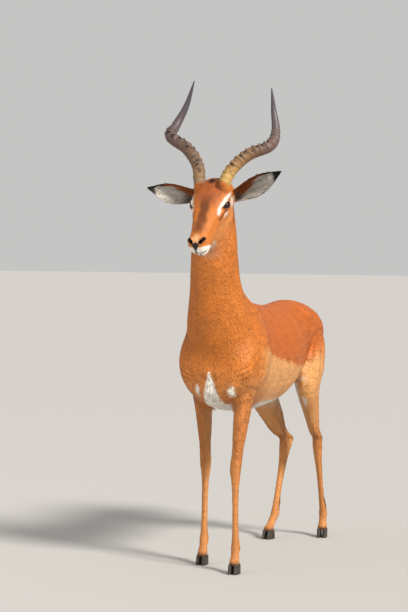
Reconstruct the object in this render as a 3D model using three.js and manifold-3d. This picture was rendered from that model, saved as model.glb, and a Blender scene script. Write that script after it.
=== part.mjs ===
// A life-size impala ram (Aepyceros melampus) standing alert on a level floor.
// Millimetres, +Z up. The ram faces -Y, and its left side is +X.
// The body is lofted part by part from its side outline, joined into one solid, and then
// parted by thin cuts where a person would name its parts.
import * as THREE from "three";
import { mergeVertices } from "three/addons/utils/BufferGeometryUtils.js";
import Module from "manifold-3d";

const wasm = await Module();
wasm.setup();

// Driving dimensions.
const withersHeight = 896;
const croupHeight = 876;
const bellyHeight = 518;
const chestFront = -226;
const buttockBack = 656;
const cutWidth = 0.3; // gap left by each parting cut
const poll = { y: -226, z: 1287 }; // top of the head between the horns, where the head turns
const headPitch = 51.5; // how far the face slopes below the horizontal, in degrees
const headYaw = 1; // turn towards the ram's left
const headTilt = 1; // lean of the crown towards the ram's left
const eyeRadius = 18;
const eyePlace = { along: 75, out: 51, below: -30 }; // centre of an eyeball on the face's own axes
const earLength = 186;
const hornBase = 19; // radius
const coronet = 32; // height where the horn of the hoof begins
const toeOut = 12; // outward turn of the hind legs, in degrees

const degrees = THREE.MathUtils.degToRad;

// ---------------------------------------------------------------- shapes

// Joins rings of points into one closed body. Each ring runs the same way round.
function skinRings(rings, startPole, endPole) {
  const sides = rings[0].length;
  const positions = [...rings.flat(), startPole, endPole].flatMap((p) => p.toArray());
  const start = rings.length * sides;
  const faces = [];
  for (let s = 0; s < sides; s++) {
    const next = (s + 1) % sides;
    faces.push(start, next, s);
    faces.push(start + 1, start - sides + s, start - sides + next);
  }
  for (let r = 0; r + 1 < rings.length; r++) {
    for (let s = 0; s < sides; s++) {
      const next = (s + 1) % sides;
      const here = r * sides;
      const there = here + sides;
      faces.push(here + s, here + next, there + s);
      faces.push(here + next, there + next, there + s);
    }
  }
  return new THREE.BufferGeometry()
    .setAttribute("position", new THREE.Float32BufferAttribute(positions, 3))
    .setIndex(faces);
}

// A number list between the key stations of a table, by a smooth curve through them.
function smoothTable(stations, count) {
  const columns = [0, 3, 6].map(
    (first) =>
      new THREE.CatmullRomCurve3(
        stations.map((row) => new THREE.Vector3(...[0, 1, 2].map((k) => row[first + k] ?? 0))),
        false,
        "catmullrom",
        0.5,
      ),
  );
  return Array.from({ length: count }, (_, i) =>
    columns.flatMap((curve) => curve.getPoint(i / (count - 1)).toArray()),
  );
}

const centreOf = (points) =>
  points.reduce((sum, p) => sum.add(p), new THREE.Vector3()).divideScalar(points.length);

// A body drawn from the side. Each station pairs two outline points, [y, z] and [y, z], with
// the half width there, the x of its middle, an egg share that widens the ring towards the
// first point, how square the ring is (0 is an ellipse) and its turn about the vertical.
function sideLoft(stations, { rings, sides, caps = [0.3, 0.3] }) {
  const rows = smoothTable(
    stations.map(({ from, to, half, x = 0, egg = 0, square = 0, turn = 0 }) => [
      ...from,
      ...to,
      half,
      x,
      egg,
      square,
      turn,
    ]),
    rings,
  );
  const upright = new THREE.Vector3(0, 0, 1);
  const loops = rows.map(([y1, z1, y2, z2, half, x, egg, square, turn]) => {
    const middle = new THREE.Vector3(x, (y1 + y2) / 2, (z1 + z2) / 2);
    const arm = new THREE.Vector3(0, (y1 - y2) / 2, (z1 - z2) / 2).applyAxisAngle(upright, turn);
    const breadth = new THREE.Vector3(half, 0, 0).applyAxisAngle(upright, turn);
    const power = 1 / (1 + square);
    return Array.from({ length: sides }, (_, s) => {
      const angle = (2 * Math.PI * (s + 0.5)) / sides;
      const c = Math.sign(Math.cos(angle)) * Math.abs(Math.cos(angle)) ** power;
      const d = Math.sign(Math.sin(angle)) * Math.abs(Math.sin(angle)) ** power;
      return middle.clone().addScaledVector(arm, d).addScaledVector(breadth, c * (1 + egg * d));
    });
  });
  const last = loops.length - 1;
  const poleOf = (loop, inner, cap) => {
    const c = centreOf(loop);
    const reach = Math.min(...loop.map((p) => p.distanceTo(c)));
    return c.clone().addScaledVector(c.clone().sub(centreOf(inner)).normalize(), cap * reach);
  };
  return skinRings(
    loops,
    poleOf(loops[0], loops[1], caps[0]),
    poleOf(loops[last], loops[last - 1], caps[1]),
  );
}

// A closed geometry as a solid for joining and cutting, turned right side out if need be.
function solid(geometry) {
  const bare = geometry.clone();
  bare.deleteAttribute("normal");
  bare.deleteAttribute("uv");
  const merged = mergeVertices(bare, 1e-3);
  const vertProperties = merged.attributes.position.array;
  const triVerts = new Uint32Array(merged.index.array);
  const make = () => new wasm.Manifold(new wasm.Mesh({ numProp: 3, vertProperties, triVerts }));
  const made = make();
  if (made.volume() > 0) return made;
  for (let i = 0; i < triVerts.length; i += 3) {
    [triVerts[i + 1], triVerts[i + 2]] = [triVerts[i + 2], triVerts[i + 1]];
  }
  return make();
}

const ellipsoid = (at, radii, across = 10, down = 8) =>
  new THREE.SphereGeometry(1, across, down)
    .rotateX(Math.PI / 2)
    .scale(...radii)
    .translate(...at);

// ---------------------------------------------------------------- trunk and neck

// Backline and belly line from the breast to the buttocks.
function trunk() {
  const w = withersHeight;
  const b = bellyHeight;
  const c = croupHeight;
  const back = buttockBack;
  const front = chestFront;
  const stations = [
    { from: [front, 702], to: [front, 634], half: 44, x: -6 },
    { from: [front + 12, 768], to: [front + 10, 588], half: 98, x: -7 },
    { from: [front + 44, 826], to: [front + 42, 554], half: 130, x: -9 },
    { from: [-132, 868], to: [-134, b + 14], half: 142, egg: 0.02, x: -9 },
    { from: [-72, w - 8], to: [-74, b + 3], half: 141, egg: -0.06, x: -6 },
    { from: [-8, w + 2], to: [-8, b - 2], half: 132, egg: -0.14, x: -2 },
    { from: [60, w - 6], to: [60, b - 4], half: 127, egg: -0.18 },
    { from: [150, w - 22], to: [150, b], half: 132, egg: -0.12 },
    { from: [240, w - 30], to: [240, b + 10], half: 134, egg: -0.06 },
    { from: [330, c - 8], to: [330, b + 34], half: 126, egg: 0 },
    { from: [400, c - 2], to: [400, b + 62], half: 115, egg: 0.08 },
    { from: [465, c], to: [465, b + 96], half: 114, egg: 0.12 },
    { from: [530, c - 10], to: [530, b + 122], half: 111, egg: 0.08 },
    { from: [592, c - 36], to: [592, b + 140], half: 100, egg: 0.02 },
    { from: [640, c - 80], to: [640, b + 160], half: 76 },
    { from: [back - 2, c - 128], to: [back - 2, b + 196], half: 36 },
  ];
  return sideLoft(stations, { rings: 26, sides: 18 });
}

// Crest and throat of the neck, from between the shoulders to behind the jaw.
function neck() {
  const stations = [
    { from: [110, 838], to: [-176, 606], half: 104, egg: -0.2, x: -6 },
    { from: [62, 892], to: [-214, 672], half: 122, egg: -0.26, x: -7 },
    { from: [12, 922], to: [-236, 752], half: 111, egg: -0.3, x: -8 },
    { from: [-26, 966], to: [-250, 832], half: 95, egg: -0.26, x: -9 },
    { from: [-60, 1024], to: [-259, 916], half: 84, egg: -0.18, x: -9 },
    { from: [-92, 1090], to: [-264, 998], half: 79, egg: -0.12, x: -8 },
    { from: [-116, 1156], to: [-262, 1060], half: 75, egg: -0.08, x: -6 },
    { from: [-136, 1214], to: [-246, 1108], half: 69, egg: -0.04, x: -4 },
    { from: [-158, 1256], to: [-230, 1156], half: 60, x: -2 },
    { from: [-184, 1270], to: [-230, 1200], half: 46, x: 0 },
  ];
  return sideLoft(stations, { rings: 19, sides: 16, caps: [0, 0] });
}

// ---------------------------------------------------------------- head

// The head is drawn on its own axes: "along" runs down the face from the poll and "above"
// stands off the face. This turns them into a side outline point of the unturned head.
const facePoint = (along, above) => {
  const slope = degrees(headPitch);
  return [
    poll.y - along * Math.cos(slope) - above * Math.sin(slope),
    poll.z - along * Math.sin(slope) + above * Math.cos(slope),
  ];
};

const turnHead = new THREE.Matrix4()
  .makeTranslation(2, poll.y, poll.z)
  .multiply(new THREE.Matrix4().makeRotationZ(degrees(headYaw)))
  .multiply(new THREE.Matrix4().makeRotationY(degrees(headTilt)))
  .multiply(new THREE.Matrix4().makeTranslation(0, -poll.y, -poll.z));

const faceLoft = (rows, lean, detail) =>
  sideLoft(
    rows.map(([along, above, below, half, egg = 0, square = 0]) => ({
      from: facePoint(along, above),
      to: facePoint(along + lean * (above - below), below),
      half,
      egg,
      square,
    })),
    detail,
  );

function head() {
  const skull = [
    // along, above, below, half, egg, square
    [-46, -42, -74, 26],
    [-30, -15, -100, 50, 0, 0.1],
    [-4, 1, -112, 60, 0.08, 0.2],
    [26, 7, -114, 62, 0.14, 0.26],
    [54, 9, -110, 61, 0.2, 0.22],
    [82, 8, -104, 58, 0.22, 0.14],
    [108, 4, -98, 54, 0.18, 0.1],
    [138, 1, -90, 46, 0.1, 0.08],
    [172, 0, -80, 39.5, 0.04, 0.08],
    [206, -1, -71, 35, -0.02, 0.12],
    [234, -3, -64, 33.5, -0.02, 0.18],
    [250, -10, -57, 29, 0, 0.1],
    [259, -22, -47, 18],
  ];
  const jaw = [
    [-14, -74, -118, 32],
    [14, -66, -130, 45],
    [48, -62, -133, 48],
    [86, -62, -127, 44],
    [126, -60, -117, 39],
    [166, -58, -107, 33],
    [202, -56, -98, 28.5],
    [226, -56, -91, 26.5, 0, 0.1],
    [244, -62, -82, 18],
  ];
  const parts = [
    faceLoft(skull, 0.05, { rings: 21, sides: 18 }),
    faceLoft(jaw, 0, { rings: 13, sides: 12 }),
  ];
  for (const side of [-1, 1]) {
    const at = (along, out, above) => [side * out, ...facePoint(along, above)];
    const orbit = at(eyePlace.along - 2, eyePlace.out - 5, eyePlace.below);
    parts.push(ellipsoid(orbit, [19, 25, 23], 12, 8));
    parts.push(ellipsoid(at(20, 42, -18), [24, 30, 24], 12, 8)); // root of the horn
    parts.push(ellipsoid(at(230, 18, -19), [14, 18, 14])); // wing of the nostril
  }
  return parts.map((geometry) => geometry.applyMatrix4(turnHead));
}

const eyeCentre = (side) => {
  const at = new THREE.Vector3(side * eyePlace.out, ...facePoint(eyePlace.along, eyePlace.below));
  return at.applyMatrix4(turnHead);
};

// ---------------------------------------------------------------- ears

// A leaf-shaped cup: each ring is a crescent whose two arcs lie a skin's thickness apart.
function ear(side, { tip, face, lift }) {
  const root = new THREE.Vector3(side * 54, ...facePoint(2, -72)).applyMatrix4(turnHead);
  const out = new THREE.Vector3(side * tip[0], tip[1], tip[2]).normalize();
  const open = new THREE.Vector3(side * face[0], face[1], face[2]);
  open.addScaledVector(out, -open.dot(out)).normalize();
  const breadth = new THREE.Vector3().crossVectors(out, open);
  const rows = [
    // share of the length, half breadth, how far the rim curls forward, wall
    [-0.16, 20, 14, 8],
    [0.02, 21, 18, 7],
    [0.16, 23, 23, 6],
    [0.3, 29, 24, 5],
    [0.46, 34, 20, 4.4],
    [0.62, 33.5, 14, 4],
    [0.77, 26, 9, 3.6],
    [0.89, 15, 5, 3.2],
    [0.97, 7, 2.5, 3],
    [1, 3.5, 1.4, 2.6],
  ];
  const steps = 5;
  const reach = degrees(100);
  const loops = smoothTable(rows, 14).map(([share, half, curl, wall]) => {
    const middle = root.clone().addScaledVector(out, share * earLength);
    middle.z += lift * Math.max(share, 0) ** 2;
    const point = (k, inset) => {
      const angle = -reach + (2 * reach * k) / steps;
      return middle
        .clone()
        .addScaledVector(breadth, (half - inset / 2) * Math.sin(angle))
        .addScaledVector(open, curl * (1 - 2 * Math.cos(angle)) + inset * Math.cos(angle));
    };
    const outer = Array.from({ length: steps + 1 }, (_, k) => point(k, 0));
    const inner = Array.from({ length: steps + 1 }, (_, k) => point(steps - k, wall));
    return [...outer, ...inner];
  });
  const tipPole = centreOf(loops[loops.length - 1]).addScaledVector(out, 2);
  return skinRings(loops, centreOf(loops[0]), tipPole);
}

// ---------------------------------------------------------------- horns

// Each horn goes out and back from the crown, then up and in to a smooth point. Rings stand
// out on its lower two thirds. The points are measured from the poll.
const hornRoutes = {
  left: [
    [42, 2, -34],
    [44, -8, -2],
    [61, 27, 48],
    [106, 52, 92],
    [167, 83, 122],
    [168, 130, 168],
    [153, 148, 239],
    [145, 146, 313],
  ],
  right: [
    [42, 2, -34],
    [44, -8, -2],
    [58, 10, 52],
    [106, 36, 107],
    [174, 55, 148],
    [183, 113, 182],
    [155, 139, 252],
    [127, 139, 337],
  ],
};

function horn(side, points) {
  const route = new THREE.CatmullRomCurve3(
    points.map(([x, y, z]) =>
      new THREE.Vector3(side * x, poll.y + y, poll.z + z).applyMatrix4(turnHead),
    ),
    false,
    "catmullrom",
    0.5,
  );
  const sides = 7;
  const ridges = 12;
  const ringed = 0.66;
  const stops = Array.from({ length: ridges * 3 }, (_, i) => (ringed * i) / (ridges * 3));
  stops.push(ringed, 0.74, 0.82, 0.9, 0.96, 1);
  const loops = stops.map((t, i) => {
    const taper = hornBase * (1 - t ** 2.4) ** 0.85 + 1.2;
    const step = t < ringed ? [0.96, 1.08, 1.03][i % 3] : 1;
    const middle = route.getPointAt(t);
    const ahead = route.getTangentAt(t);
    const inward = new THREE.Vector3(0, 1, 0).cross(ahead).normalize();
    const across = ahead.clone().cross(inward);
    return Array.from({ length: sides }, (_, s) => {
      const angle = (2 * Math.PI * s) / sides;
      return middle
        .clone()
        .addScaledVector(inward, taper * step * Math.cos(angle))
        .addScaledVector(across, taper * step * Math.sin(angle));
    });
  });
  const tip = route.getPointAt(1).addScaledVector(route.getTangentAt(1), 2);
  return skinRings(loops, route.getPointAt(0), tip);
}

// ---------------------------------------------------------------- legs

const mix = (a, b, t) => a.map((value, k) => value + (b[k] - value) * t);

// A level station of a leg at a point [distance from the middle, y, z], shifted up by `rise`,
// with its reach forward and back and its half width.
const legStation =
  (side, turn) =>
  ([out, y, z], rise, front, back, half) => ({
    from: [y - front, z + rise],
    to: [y + back, z + rise],
    half,
    x: side * out,
    turn: side * turn,
  });

// One foreleg from inside the shoulder to the coronet, standing on its foot.
function foreleg(side, { elbow, knee, fetlock, foot }) {
  const row = legStation(side, 0);
  const stations = [
    row([elbow[0] - 14, elbow[1] + 10, 770], 0, 60, 66, 30),
    row([elbow[0] + 2, elbow[1] + 2, 690], 0, 66, 78, 42),
    row(elbow, 0, 58, 68, 40),
    row(mix(elbow, knee, 0.19), 0, 50, 56, 33),
    row(mix(elbow, knee, 0.49), 0, 35, 38, 25),
    row(mix(elbow, knee, 0.75), 0, 23, 25, 19.5),
    row(mix(elbow, knee, 0.9), 0, 22, 22, 20),
    row(knee, 0, 21, 21, 19.5),
    row(mix(knee, fetlock, 0.11), 0, 17, 19, 15),
    row(mix(knee, fetlock, 0.29), 0, 13, 16, 11.8),
    row(mix(knee, fetlock, 0.62), 0, 12, 15, 10.4),
    row(mix(knee, fetlock, 0.87), 0, 13, 17, 11.6),
    row(fetlock, 0, 15, 20, 15),
    row(mix(fetlock, foot, 0.55), 0, 15, 15, 14),
    row(foot, 0, 21, 15, 17),
    row([foot[0], foot[1] - 3, 22], 0, 19, 13, 14),
  ];
  return sideLoft(stations, { rings: 28, sides: 8, caps: [0.2, 0] });
}

// One hind leg from inside the haunch: thigh, gaskin, hock, cannon and pastern.
function hindleg(side, { hip, stifle, hock, fetlock, foot }) {
  const row = legStation(side, degrees(toeOut));
  const stations = [
    row([hip[0] - 16, hip[1] + 6, 838], 0, 62, 70, 30),
    row([hip[0] - 5, hip[1] + 4, 780], 0, 102, 110, 50),
    row(hip, 0, 126, 130, 60),
    row(mix(hip, stifle, 0.36), 0, 134, 136, 58),
    row(mix(hip, stifle, 0.7), 0, 122, 122, 51),
    row(stifle, 0, 98, 98, 42),
    row(mix(stifle, hock, 0.28), 0, 80, 80, 32),
    row(mix(stifle, hock, 0.53), 0, 64, 62, 25),
    row(mix(stifle, hock, 0.74), 0, 47, 48, 21),
    row(hock, 26, 35, 47, 19),
    row(hock, 4, 31, 42, 18.5),
    row(mix(hock, fetlock, 0.12), 0, 24, 28, 16),
    row(mix(hock, fetlock, 0.36), 0, 16, 19, 12),
    row(mix(hock, fetlock, 0.7), 0, 14, 17, 10.8),
    row(mix(hock, fetlock, 0.9), 0, 15, 19, 12.4),
    row(fetlock, 0, 16, 21, 15),
    row(mix(fetlock, foot, 0.55), 0, 15, 15, 14),
    row(foot, 0, 21, 15, 17),
    row([foot[0], foot[1] - 3, 22], 0, 19, 13, 14),
  ];
  return sideLoft(stations, { rings: 33, sides: 10, caps: [0.2, 0] });
}

// One of the two claws of a foot, flat below and pointed in front.
function claw(x, y, turn) {
  const row = (z, front, back, half) => ({
    from: [y - front, z],
    to: [y + back, z],
    half,
    x,
    square: 0.1,
    egg: -0.16,
    turn,
  });
  const stations = [row(46, 19, 12, 7), row(32, 24, 16, 8.6), row(16, 29, 17, 9), row(-4, 35, 18, 9.2)];
  return sideLoft(stations, { rings: 5, sides: 8, caps: [0, 0] });
}

// ---------------------------------------------------------------- tail and sheath

function tail() {
  const stations = [
    { from: [588, 846], to: [580, 806], half: 20 },
    { from: [640, 842], to: [624, 798], half: 24 },
    { from: [684, 808], to: [661, 780], half: 22 },
    { from: [699, 736], to: [671, 732], half: 20 },
    { from: [701, 650], to: [675, 650], half: 23 },
    { from: [698, 565], to: [675, 565], half: 21 },
    { from: [691, 505], to: [679, 505], half: 11 },
  ];
  return sideLoft(stations, { rings: 13, sides: 8, caps: [0.2, 1] });
}

// ---------------------------------------------------------------- the standing ram

// Where the joints of each leg stand, as [distance from the middle, y, z].
const stance = {
  foreleg_left: {
    elbow: [70, -112, 612],
    knee: [60, -172, 336],
    fetlock: [67, -190, 84],
    foot: [71, -204, 38],
  },
  foreleg_right: {
    elbow: [89, -92, 612],
    knee: [101, -40, 336],
    fetlock: [99, -62, 84],
    foot: [96, -78, 38],
  },
  hindleg_left: {
    hip: [60, 516, 715],
    stifle: [86, 458, 552],
    hock: [81, 572, 344],
    fetlock: [80, 642, 84],
    foot: [84, 628, 38],
  },
  hindleg_right: {
    hip: [60, 516, 715],
    stifle: [90, 444, 546],
    hock: [64, 634, 332],
    fetlock: [79, 560, 82],
    foot: [84, 518, 38],
  },
};

const ears = {
  left: { tip: [0.88, -0.17, 0.24], face: [0, -1, -0.1], lift: 31 },
  right: { tip: [0.93, -0.28, -0.05], face: [-0.3, -1, 0.05], lift: 36 },
};

const sides = { left: 1, right: -1 };
const joined = (geometries) => geometries.map(solid).reduce((whole, piece) => whole.add(piece));

const sheath = ellipsoid([0, 372, 562], [19, 54, 24], 8, 8);
const scrotum = ellipsoid([0, 478, 602], [29, 27, 46], 8, 8);
const flesh = [trunk(), neck(), ...head(), tail(), sheath, scrotum];
for (const [name, side] of Object.entries(sides)) {
  flesh.push(foreleg(side, stance["foreleg_" + name]));
  flesh.push(hindleg(side, stance["hindleg_" + name]));
}
let body = joined(flesh);

const pieces = {};

// Horns and ears end on the surface of the head, a cut's width clear of it.
for (const [name, side] of Object.entries(sides)) {
  const clear = body.add(body.translate([0, 0, cutWidth]));
  const clearSide = body.add(body.translate([side * cutWidth, 0, 0]));
  pieces["horn_" + name] = solid(horn(side, hornRoutes[name])).subtract(clear);
  pieces["ear_" + name] = solid(ear(side, ears[name])).subtract(clearSide);
}

// Eyes sit in round sockets.
for (const [name, side] of Object.entries(sides)) {
  const centre = eyeCentre(side).toArray();
  const ball = (radius) => solid(ellipsoid(centre, [radius, radius, radius], 14, 9));
  body = body.subtract(ball(eyeRadius + cutWidth));
  pieces["eye_" + name] = ball(eyeRadius);
}

// Takes what lies inside a cutter off the body as a piece of its own. What stays keeps a
// cut's width clear of it.
function part(name, cutter) {
  pieces[name] = body.intersect(cutter(0));
  body = body.subtract(cutter(cutWidth));
}

// Everything beyond a plane through a side point, leaning back by `lean` from facing forward.
const beyond = (point, lean) => (grow) => {
  const reach = 900;
  return solid(
    new THREE.BoxGeometry(reach, reach, reach)
      .translate(0, grow - reach / 2, 0)
      .rotateX(degrees(-lean))
      .translate(0, ...point),
  );
};

// A level slice of one side's leg, between two heights and from y to y.
const slice = (side, inner, [y1, y2], [low, high]) => (grow) => {
  const size = [220, y2 - y1, high - low].map((length) => length + 2 * grow);
  const middle = [side * (inner + 110), (y1 + y2) / 2, (low + high) / 2];
  return solid(new THREE.BoxGeometry(...size).translate(...middle));
};

const cleft = 10; // claws stand this far each side of the middle of the foot
for (const [name, side] of Object.entries(sides)) {
  for (const leg of ["foreleg", "hindleg"]) {
    const [out, y] = stance[leg + "_" + name].foot;
    const turn = leg === "hindleg" ? side * degrees(toeOut) : 0;
    const shoe = slice(side, 0, [y - 60, y + 60], [0, coronet])(0);
    for (const [place, shift] of [["inner", -cleft], ["outer", cleft]]) {
      const x = side * (out + shift * Math.cos(turn));
      const made = solid(claw(x, y + side * shift * Math.sin(turn), turn));
      pieces[["hoof", leg, name, place].join("_")] = made.intersect(shoe);
    }
  }
}
const ground = new THREE.BoxGeometry(2000, 3000, 100).translate(0, 0, coronet + cutWidth - 50);
body = body.subtract(solid(ground));

part("head", beyond([-262, 1077], 32));
part("neck", beyond([-105, 838], 63));
for (const [name, side] of Object.entries(sides)) {
  const fore = stance["foreleg_" + name];
  const hind = stance["hindleg_" + name];
  const foreRange = [-290, 30];
  const hindRange = [330, 760];
  part("foreleg_lower_" + name, slice(side, 5, foreRange, [0, fore.knee[2]]));
  part("foreleg_upper_" + name, slice(side, 5, foreRange, [fore.knee[2], 510]));
  part("hindleg_lower_" + name, slice(side, 22, hindRange, [0, hind.hock[2]]));
  part("hindleg_upper_" + name, slice(side, 22, hindRange, [hind.hock[2], 532]));
}
part("tail", (grow) =>
  solid(new THREE.BoxGeometry(80, 160, 360 + 2 * grow).translate(0, 660 + 80 - grow, 598)),
);
pieces.trunk = body;

const colours = { coat: 0xc07a45, horn: 0x4a3a30, hoof: 0x26201c, eye: 0x120c08 };
const ram = new THREE.Group();
for (const [name, piece] of Object.entries(pieces)) {
  const made = piece.getMesh();
  const geometry = new THREE.BufferGeometry()
    .setAttribute("position", new THREE.BufferAttribute(made.vertProperties, 3))
    .setIndex(new THREE.BufferAttribute(made.triVerts, 1));
  const color = colours[name.split("_")[0]] ?? colours.coat;
  const roughness = name.startsWith("eye") ? 0.1 : 0.6;
  const mesh = new THREE.Mesh(geometry, new THREE.MeshStandardMaterial({ color, roughness }));
  mesh.name = name;
  ram.add(mesh);
}

// The origin is under the middle of the whole ram, on the floor.
const bounds = new THREE.Box3().setFromObject(ram);
const middle = bounds.getCenter(new THREE.Vector3());
ram.children.forEach((mesh) => mesh.geometry.translate(-middle.x, -middle.y, -bounds.min.z));

export default ram;
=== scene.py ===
import math
import bmesh
import bpy
import numpy as np
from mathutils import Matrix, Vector
from mathutils.bvhtree import BVHTree
from mathutils.kdtree import KDTree


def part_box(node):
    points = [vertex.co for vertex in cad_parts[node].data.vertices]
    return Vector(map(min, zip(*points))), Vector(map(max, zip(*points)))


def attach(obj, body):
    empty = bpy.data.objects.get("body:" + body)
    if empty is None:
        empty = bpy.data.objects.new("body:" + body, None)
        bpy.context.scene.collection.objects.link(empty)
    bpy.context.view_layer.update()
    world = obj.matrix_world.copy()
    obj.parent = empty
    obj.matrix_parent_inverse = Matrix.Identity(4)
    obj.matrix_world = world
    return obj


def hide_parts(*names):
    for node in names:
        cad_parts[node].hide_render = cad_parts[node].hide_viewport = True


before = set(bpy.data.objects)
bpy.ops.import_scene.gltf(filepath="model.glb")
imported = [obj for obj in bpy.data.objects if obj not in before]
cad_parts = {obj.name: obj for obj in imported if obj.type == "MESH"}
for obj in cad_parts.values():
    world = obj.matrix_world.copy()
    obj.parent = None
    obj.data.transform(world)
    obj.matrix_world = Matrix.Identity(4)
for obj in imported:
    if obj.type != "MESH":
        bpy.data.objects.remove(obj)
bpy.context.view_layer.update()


# places on the animal: the body is measured from the floor under the withers, the head from the
# crown between the horns, along the face, out to the ram's left and up off the face
bodyOrigin = np.array([0.0005, -0.1632, 0.0])
headShape = {"pitch": 51.5, "eyeAlong": 0.075, "eyeBelow": 0.030, "eyeRadius": 0.018}


def middleOf(node):
    low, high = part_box(node)
    return np.array((low + high) / 2)


def unit(v):
    v = np.asarray(v, float)
    return v / np.maximum(np.linalg.norm(v, axis=-1, keepdims=True), 1e-12)


signOf = {"left": 1, "right": -1}
eyeAt = {side: middleOf("eye_" + side) for side in signOf}
outAxis = unit(eyeAt["left"] - eyeAt["right"])
faceSlope = math.radians(headShape["pitch"])
alongAxis = np.array([0, -math.cos(faceSlope), -math.sin(faceSlope)])
alongAxis = unit(alongAxis - outAxis * (alongAxis @ outAxis))
aboveAxis = np.cross(alongAxis, outAxis)
faceAxes = np.array([alongAxis, outAxis, aboveAxis])
faceOrigin = ((eyeAt["left"] + eyeAt["right"]) / 2
              - headShape["eyeAlong"] * alongAxis + headShape["eyeBelow"] * aboveAxis)


def toFace(points):
    return (points - faceOrigin) @ faceAxes.T


def fromFace(places):
    return faceOrigin + np.asarray(places, float) @ faceAxes


def toBody(points):
    return points - bodyOrigin


def folded(places, axis):
    # both halves of the animal laid onto one
    places = places.copy()
    places[:, axis] = np.abs(places[:, axis])
    return places


def rowDot(a, b):
    return (a * b).sum(1)


def ramp(x, low, high):
    t = np.clip((x - low) / (high - low), 0, 1)
    return t * t * (3 - 2 * t)


def ripple(points, size, seed, waves=7):
    # a soft, irregular wave of about this size, between -1 and 1
    chance = np.random.default_rng(seed)
    total = np.zeros(len(points))
    for _ in range(waves):
        way = unit(chance.normal(size=3)) * 2 * math.pi / (size * chance.uniform(0.6, 1.6))
        total += np.sin(points @ way + chance.uniform(0, 2 * math.pi))
    return total / math.sqrt(waves)


def curveThrough(stops, count=60):
    # a smooth curve through the stops
    stops = np.asarray(stops, float)
    padded = np.vstack([2 * stops[0] - stops[1], stops, 2 * stops[-1] - stops[-2]])
    t = np.linspace(0, len(stops) - 1, count)
    i = np.minimum(t.astype(int), len(stops) - 2)
    f = (t - i)[:, None]
    p0, p1, p2, p3 = (padded[i + k] for k in range(4))
    return 0.5 * (2 * p1 + (p2 - p0) * f + (2 * p0 - 5 * p1 + 4 * p2 - p3) * f ** 2
                  + (3 * p1 - p0 - 3 * p2 + p3) * f ** 3)


def nearRoute(points, route, reach):
    # distance from a route and the share of its length at the nearest place
    line = curveThrough(route, 40)
    gap = np.full(len(points), 1.0)
    share = np.zeros(len(points))
    near = np.flatnonzero(np.all((points > line.min(0) - reach) & (points < line.max(0) + reach), 1))
    here = points[near]
    best = np.full(len(near), 1.0)
    bestShare = np.zeros(len(near))
    for k in range(len(line) - 1):
        step = line[k + 1] - line[k]
        t = np.clip((here - line[k]) @ step / (step @ step), 0, 1)
        away = np.linalg.norm(here - line[k] - t[:, None] * step, axis=1)
        closer = away < best
        best[closer] = away[closer]
        bestShare[closer] = (k + t[closer]) / (len(line) - 1)
    gap[near] = best
    share[near] = bestShare
    return gap, share


def readMesh(mesh, what, kind="vertices", width=3, dtype=np.float32):
    part = getattr(mesh, kind)
    flat = np.empty(len(part) * width, dtype)
    part.foreach_get(what, flat)
    return flat.reshape(-1, width) if width > 1 else flat


def pointsOf(mesh):
    return readMesh(mesh, "co").astype(float)


def normalsOf(mesh):
    return readMesh(mesh, "normal").astype(float)


def linksOf(mesh):
    return readMesh(mesh, "vertices", "edges", 2, np.int32)


def faceCorners(mesh):
    # where each face's corners start, how many it has, and the vertex at every corner
    starts = readMesh(mesh, "loop_start", "polygons", 1, np.int32)
    totals = readMesh(mesh, "loop_total", "polygons", 1, np.int32)
    return starts, totals, readMesh(mesh, "vertex_index", "loops", 1, np.int32)


def faceNormals(points, faces):
    a, b, c = (points[faces[:, k]] for k in range(3))
    return np.cross(b - a, c - a)


def placePoints(mesh, points):
    mesh.vertices.foreach_set("co", points.astype(np.float32).ravel())
    mesh.update()


def smoothShaded(mesh):
    mesh.polygons.foreach_set("use_smooth", [True] * len(mesh.polygons))


def newObject(name, mesh):
    obj = bpy.data.objects.new(name, mesh)
    bpy.context.scene.collection.objects.link(obj)
    return obj


def addAttribute(mesh, name, kind, values):
    layer = mesh.attributes.new(name, kind, "POINT")
    key = {"FLOAT": "value", "FLOAT_VECTOR": "vector", "FLOAT_COLOR": "color"}[kind]
    layer.data.foreach_set(key, np.ascontiguousarray(values, np.float32).ravel())


def finished(piece, slot, *nodes):
    # every piece is fixed to the one body and stands for the nodes it covers
    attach(piece, "root")
    if nodes:
        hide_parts(*nodes)


def settled(obj, name):
    # the object's mesh with its modifiers applied, as a plain new object
    graph = bpy.context.evaluated_depsgraph_get()
    mesh = bpy.data.meshes.new_from_object(obj.evaluated_get(graph), depsgraph=graph)
    mesh.name = name
    bpy.data.objects.remove(obj)
    return newObject(name, mesh)


def relax(values, links, pull, rounds):
    # moves each value towards the mean of its neighbours
    count = len(values)
    a, b = np.ascontiguousarray(links[:, 0]), np.ascontiguousarray(links[:, 1])
    near = np.bincount(links.ravel(), minlength=count).clip(1)
    columns = [np.ascontiguousarray(c) for c in values.reshape(count, -1).T.astype(float)]
    for _ in range(rounds):
        for c in columns:
            total = np.bincount(a, c[b], count) + np.bincount(b, c[a], count)
            c += pull * (total / near - c)
    return np.stack(columns, 1).reshape(values.shape)


# the camera, the floor and the light
viewPlan = {"stand": (2.5488, -6.5548, 1.1885), "turn": 22.69, "down": 2.64, "lens": 120.0, "sensor": 36.0}


def addCamera():
    data = bpy.data.cameras.new("camera")
    data.lens = viewPlan["lens"]
    data.sensor_width = viewPlan["sensor"]
    data.clip_end = 100
    camera = newObject("camera", data)
    camera.location = viewPlan["stand"]
    camera.rotation_euler = (math.radians(90 - viewPlan["down"]), 0, math.radians(viewPlan["turn"]))
    bpy.context.scene.camera = camera


def addLamp(name, kind, plan):
    data = bpy.data.lights.new(name, kind)
    data.energy = plan["power"]
    data.color = plan["colour"]
    lamp = newObject(name, data)
    lamp.rotation_euler = (-Vector(plan["from"])).to_track_quat("-Z", "Y").to_euler()
    return lamp


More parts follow.
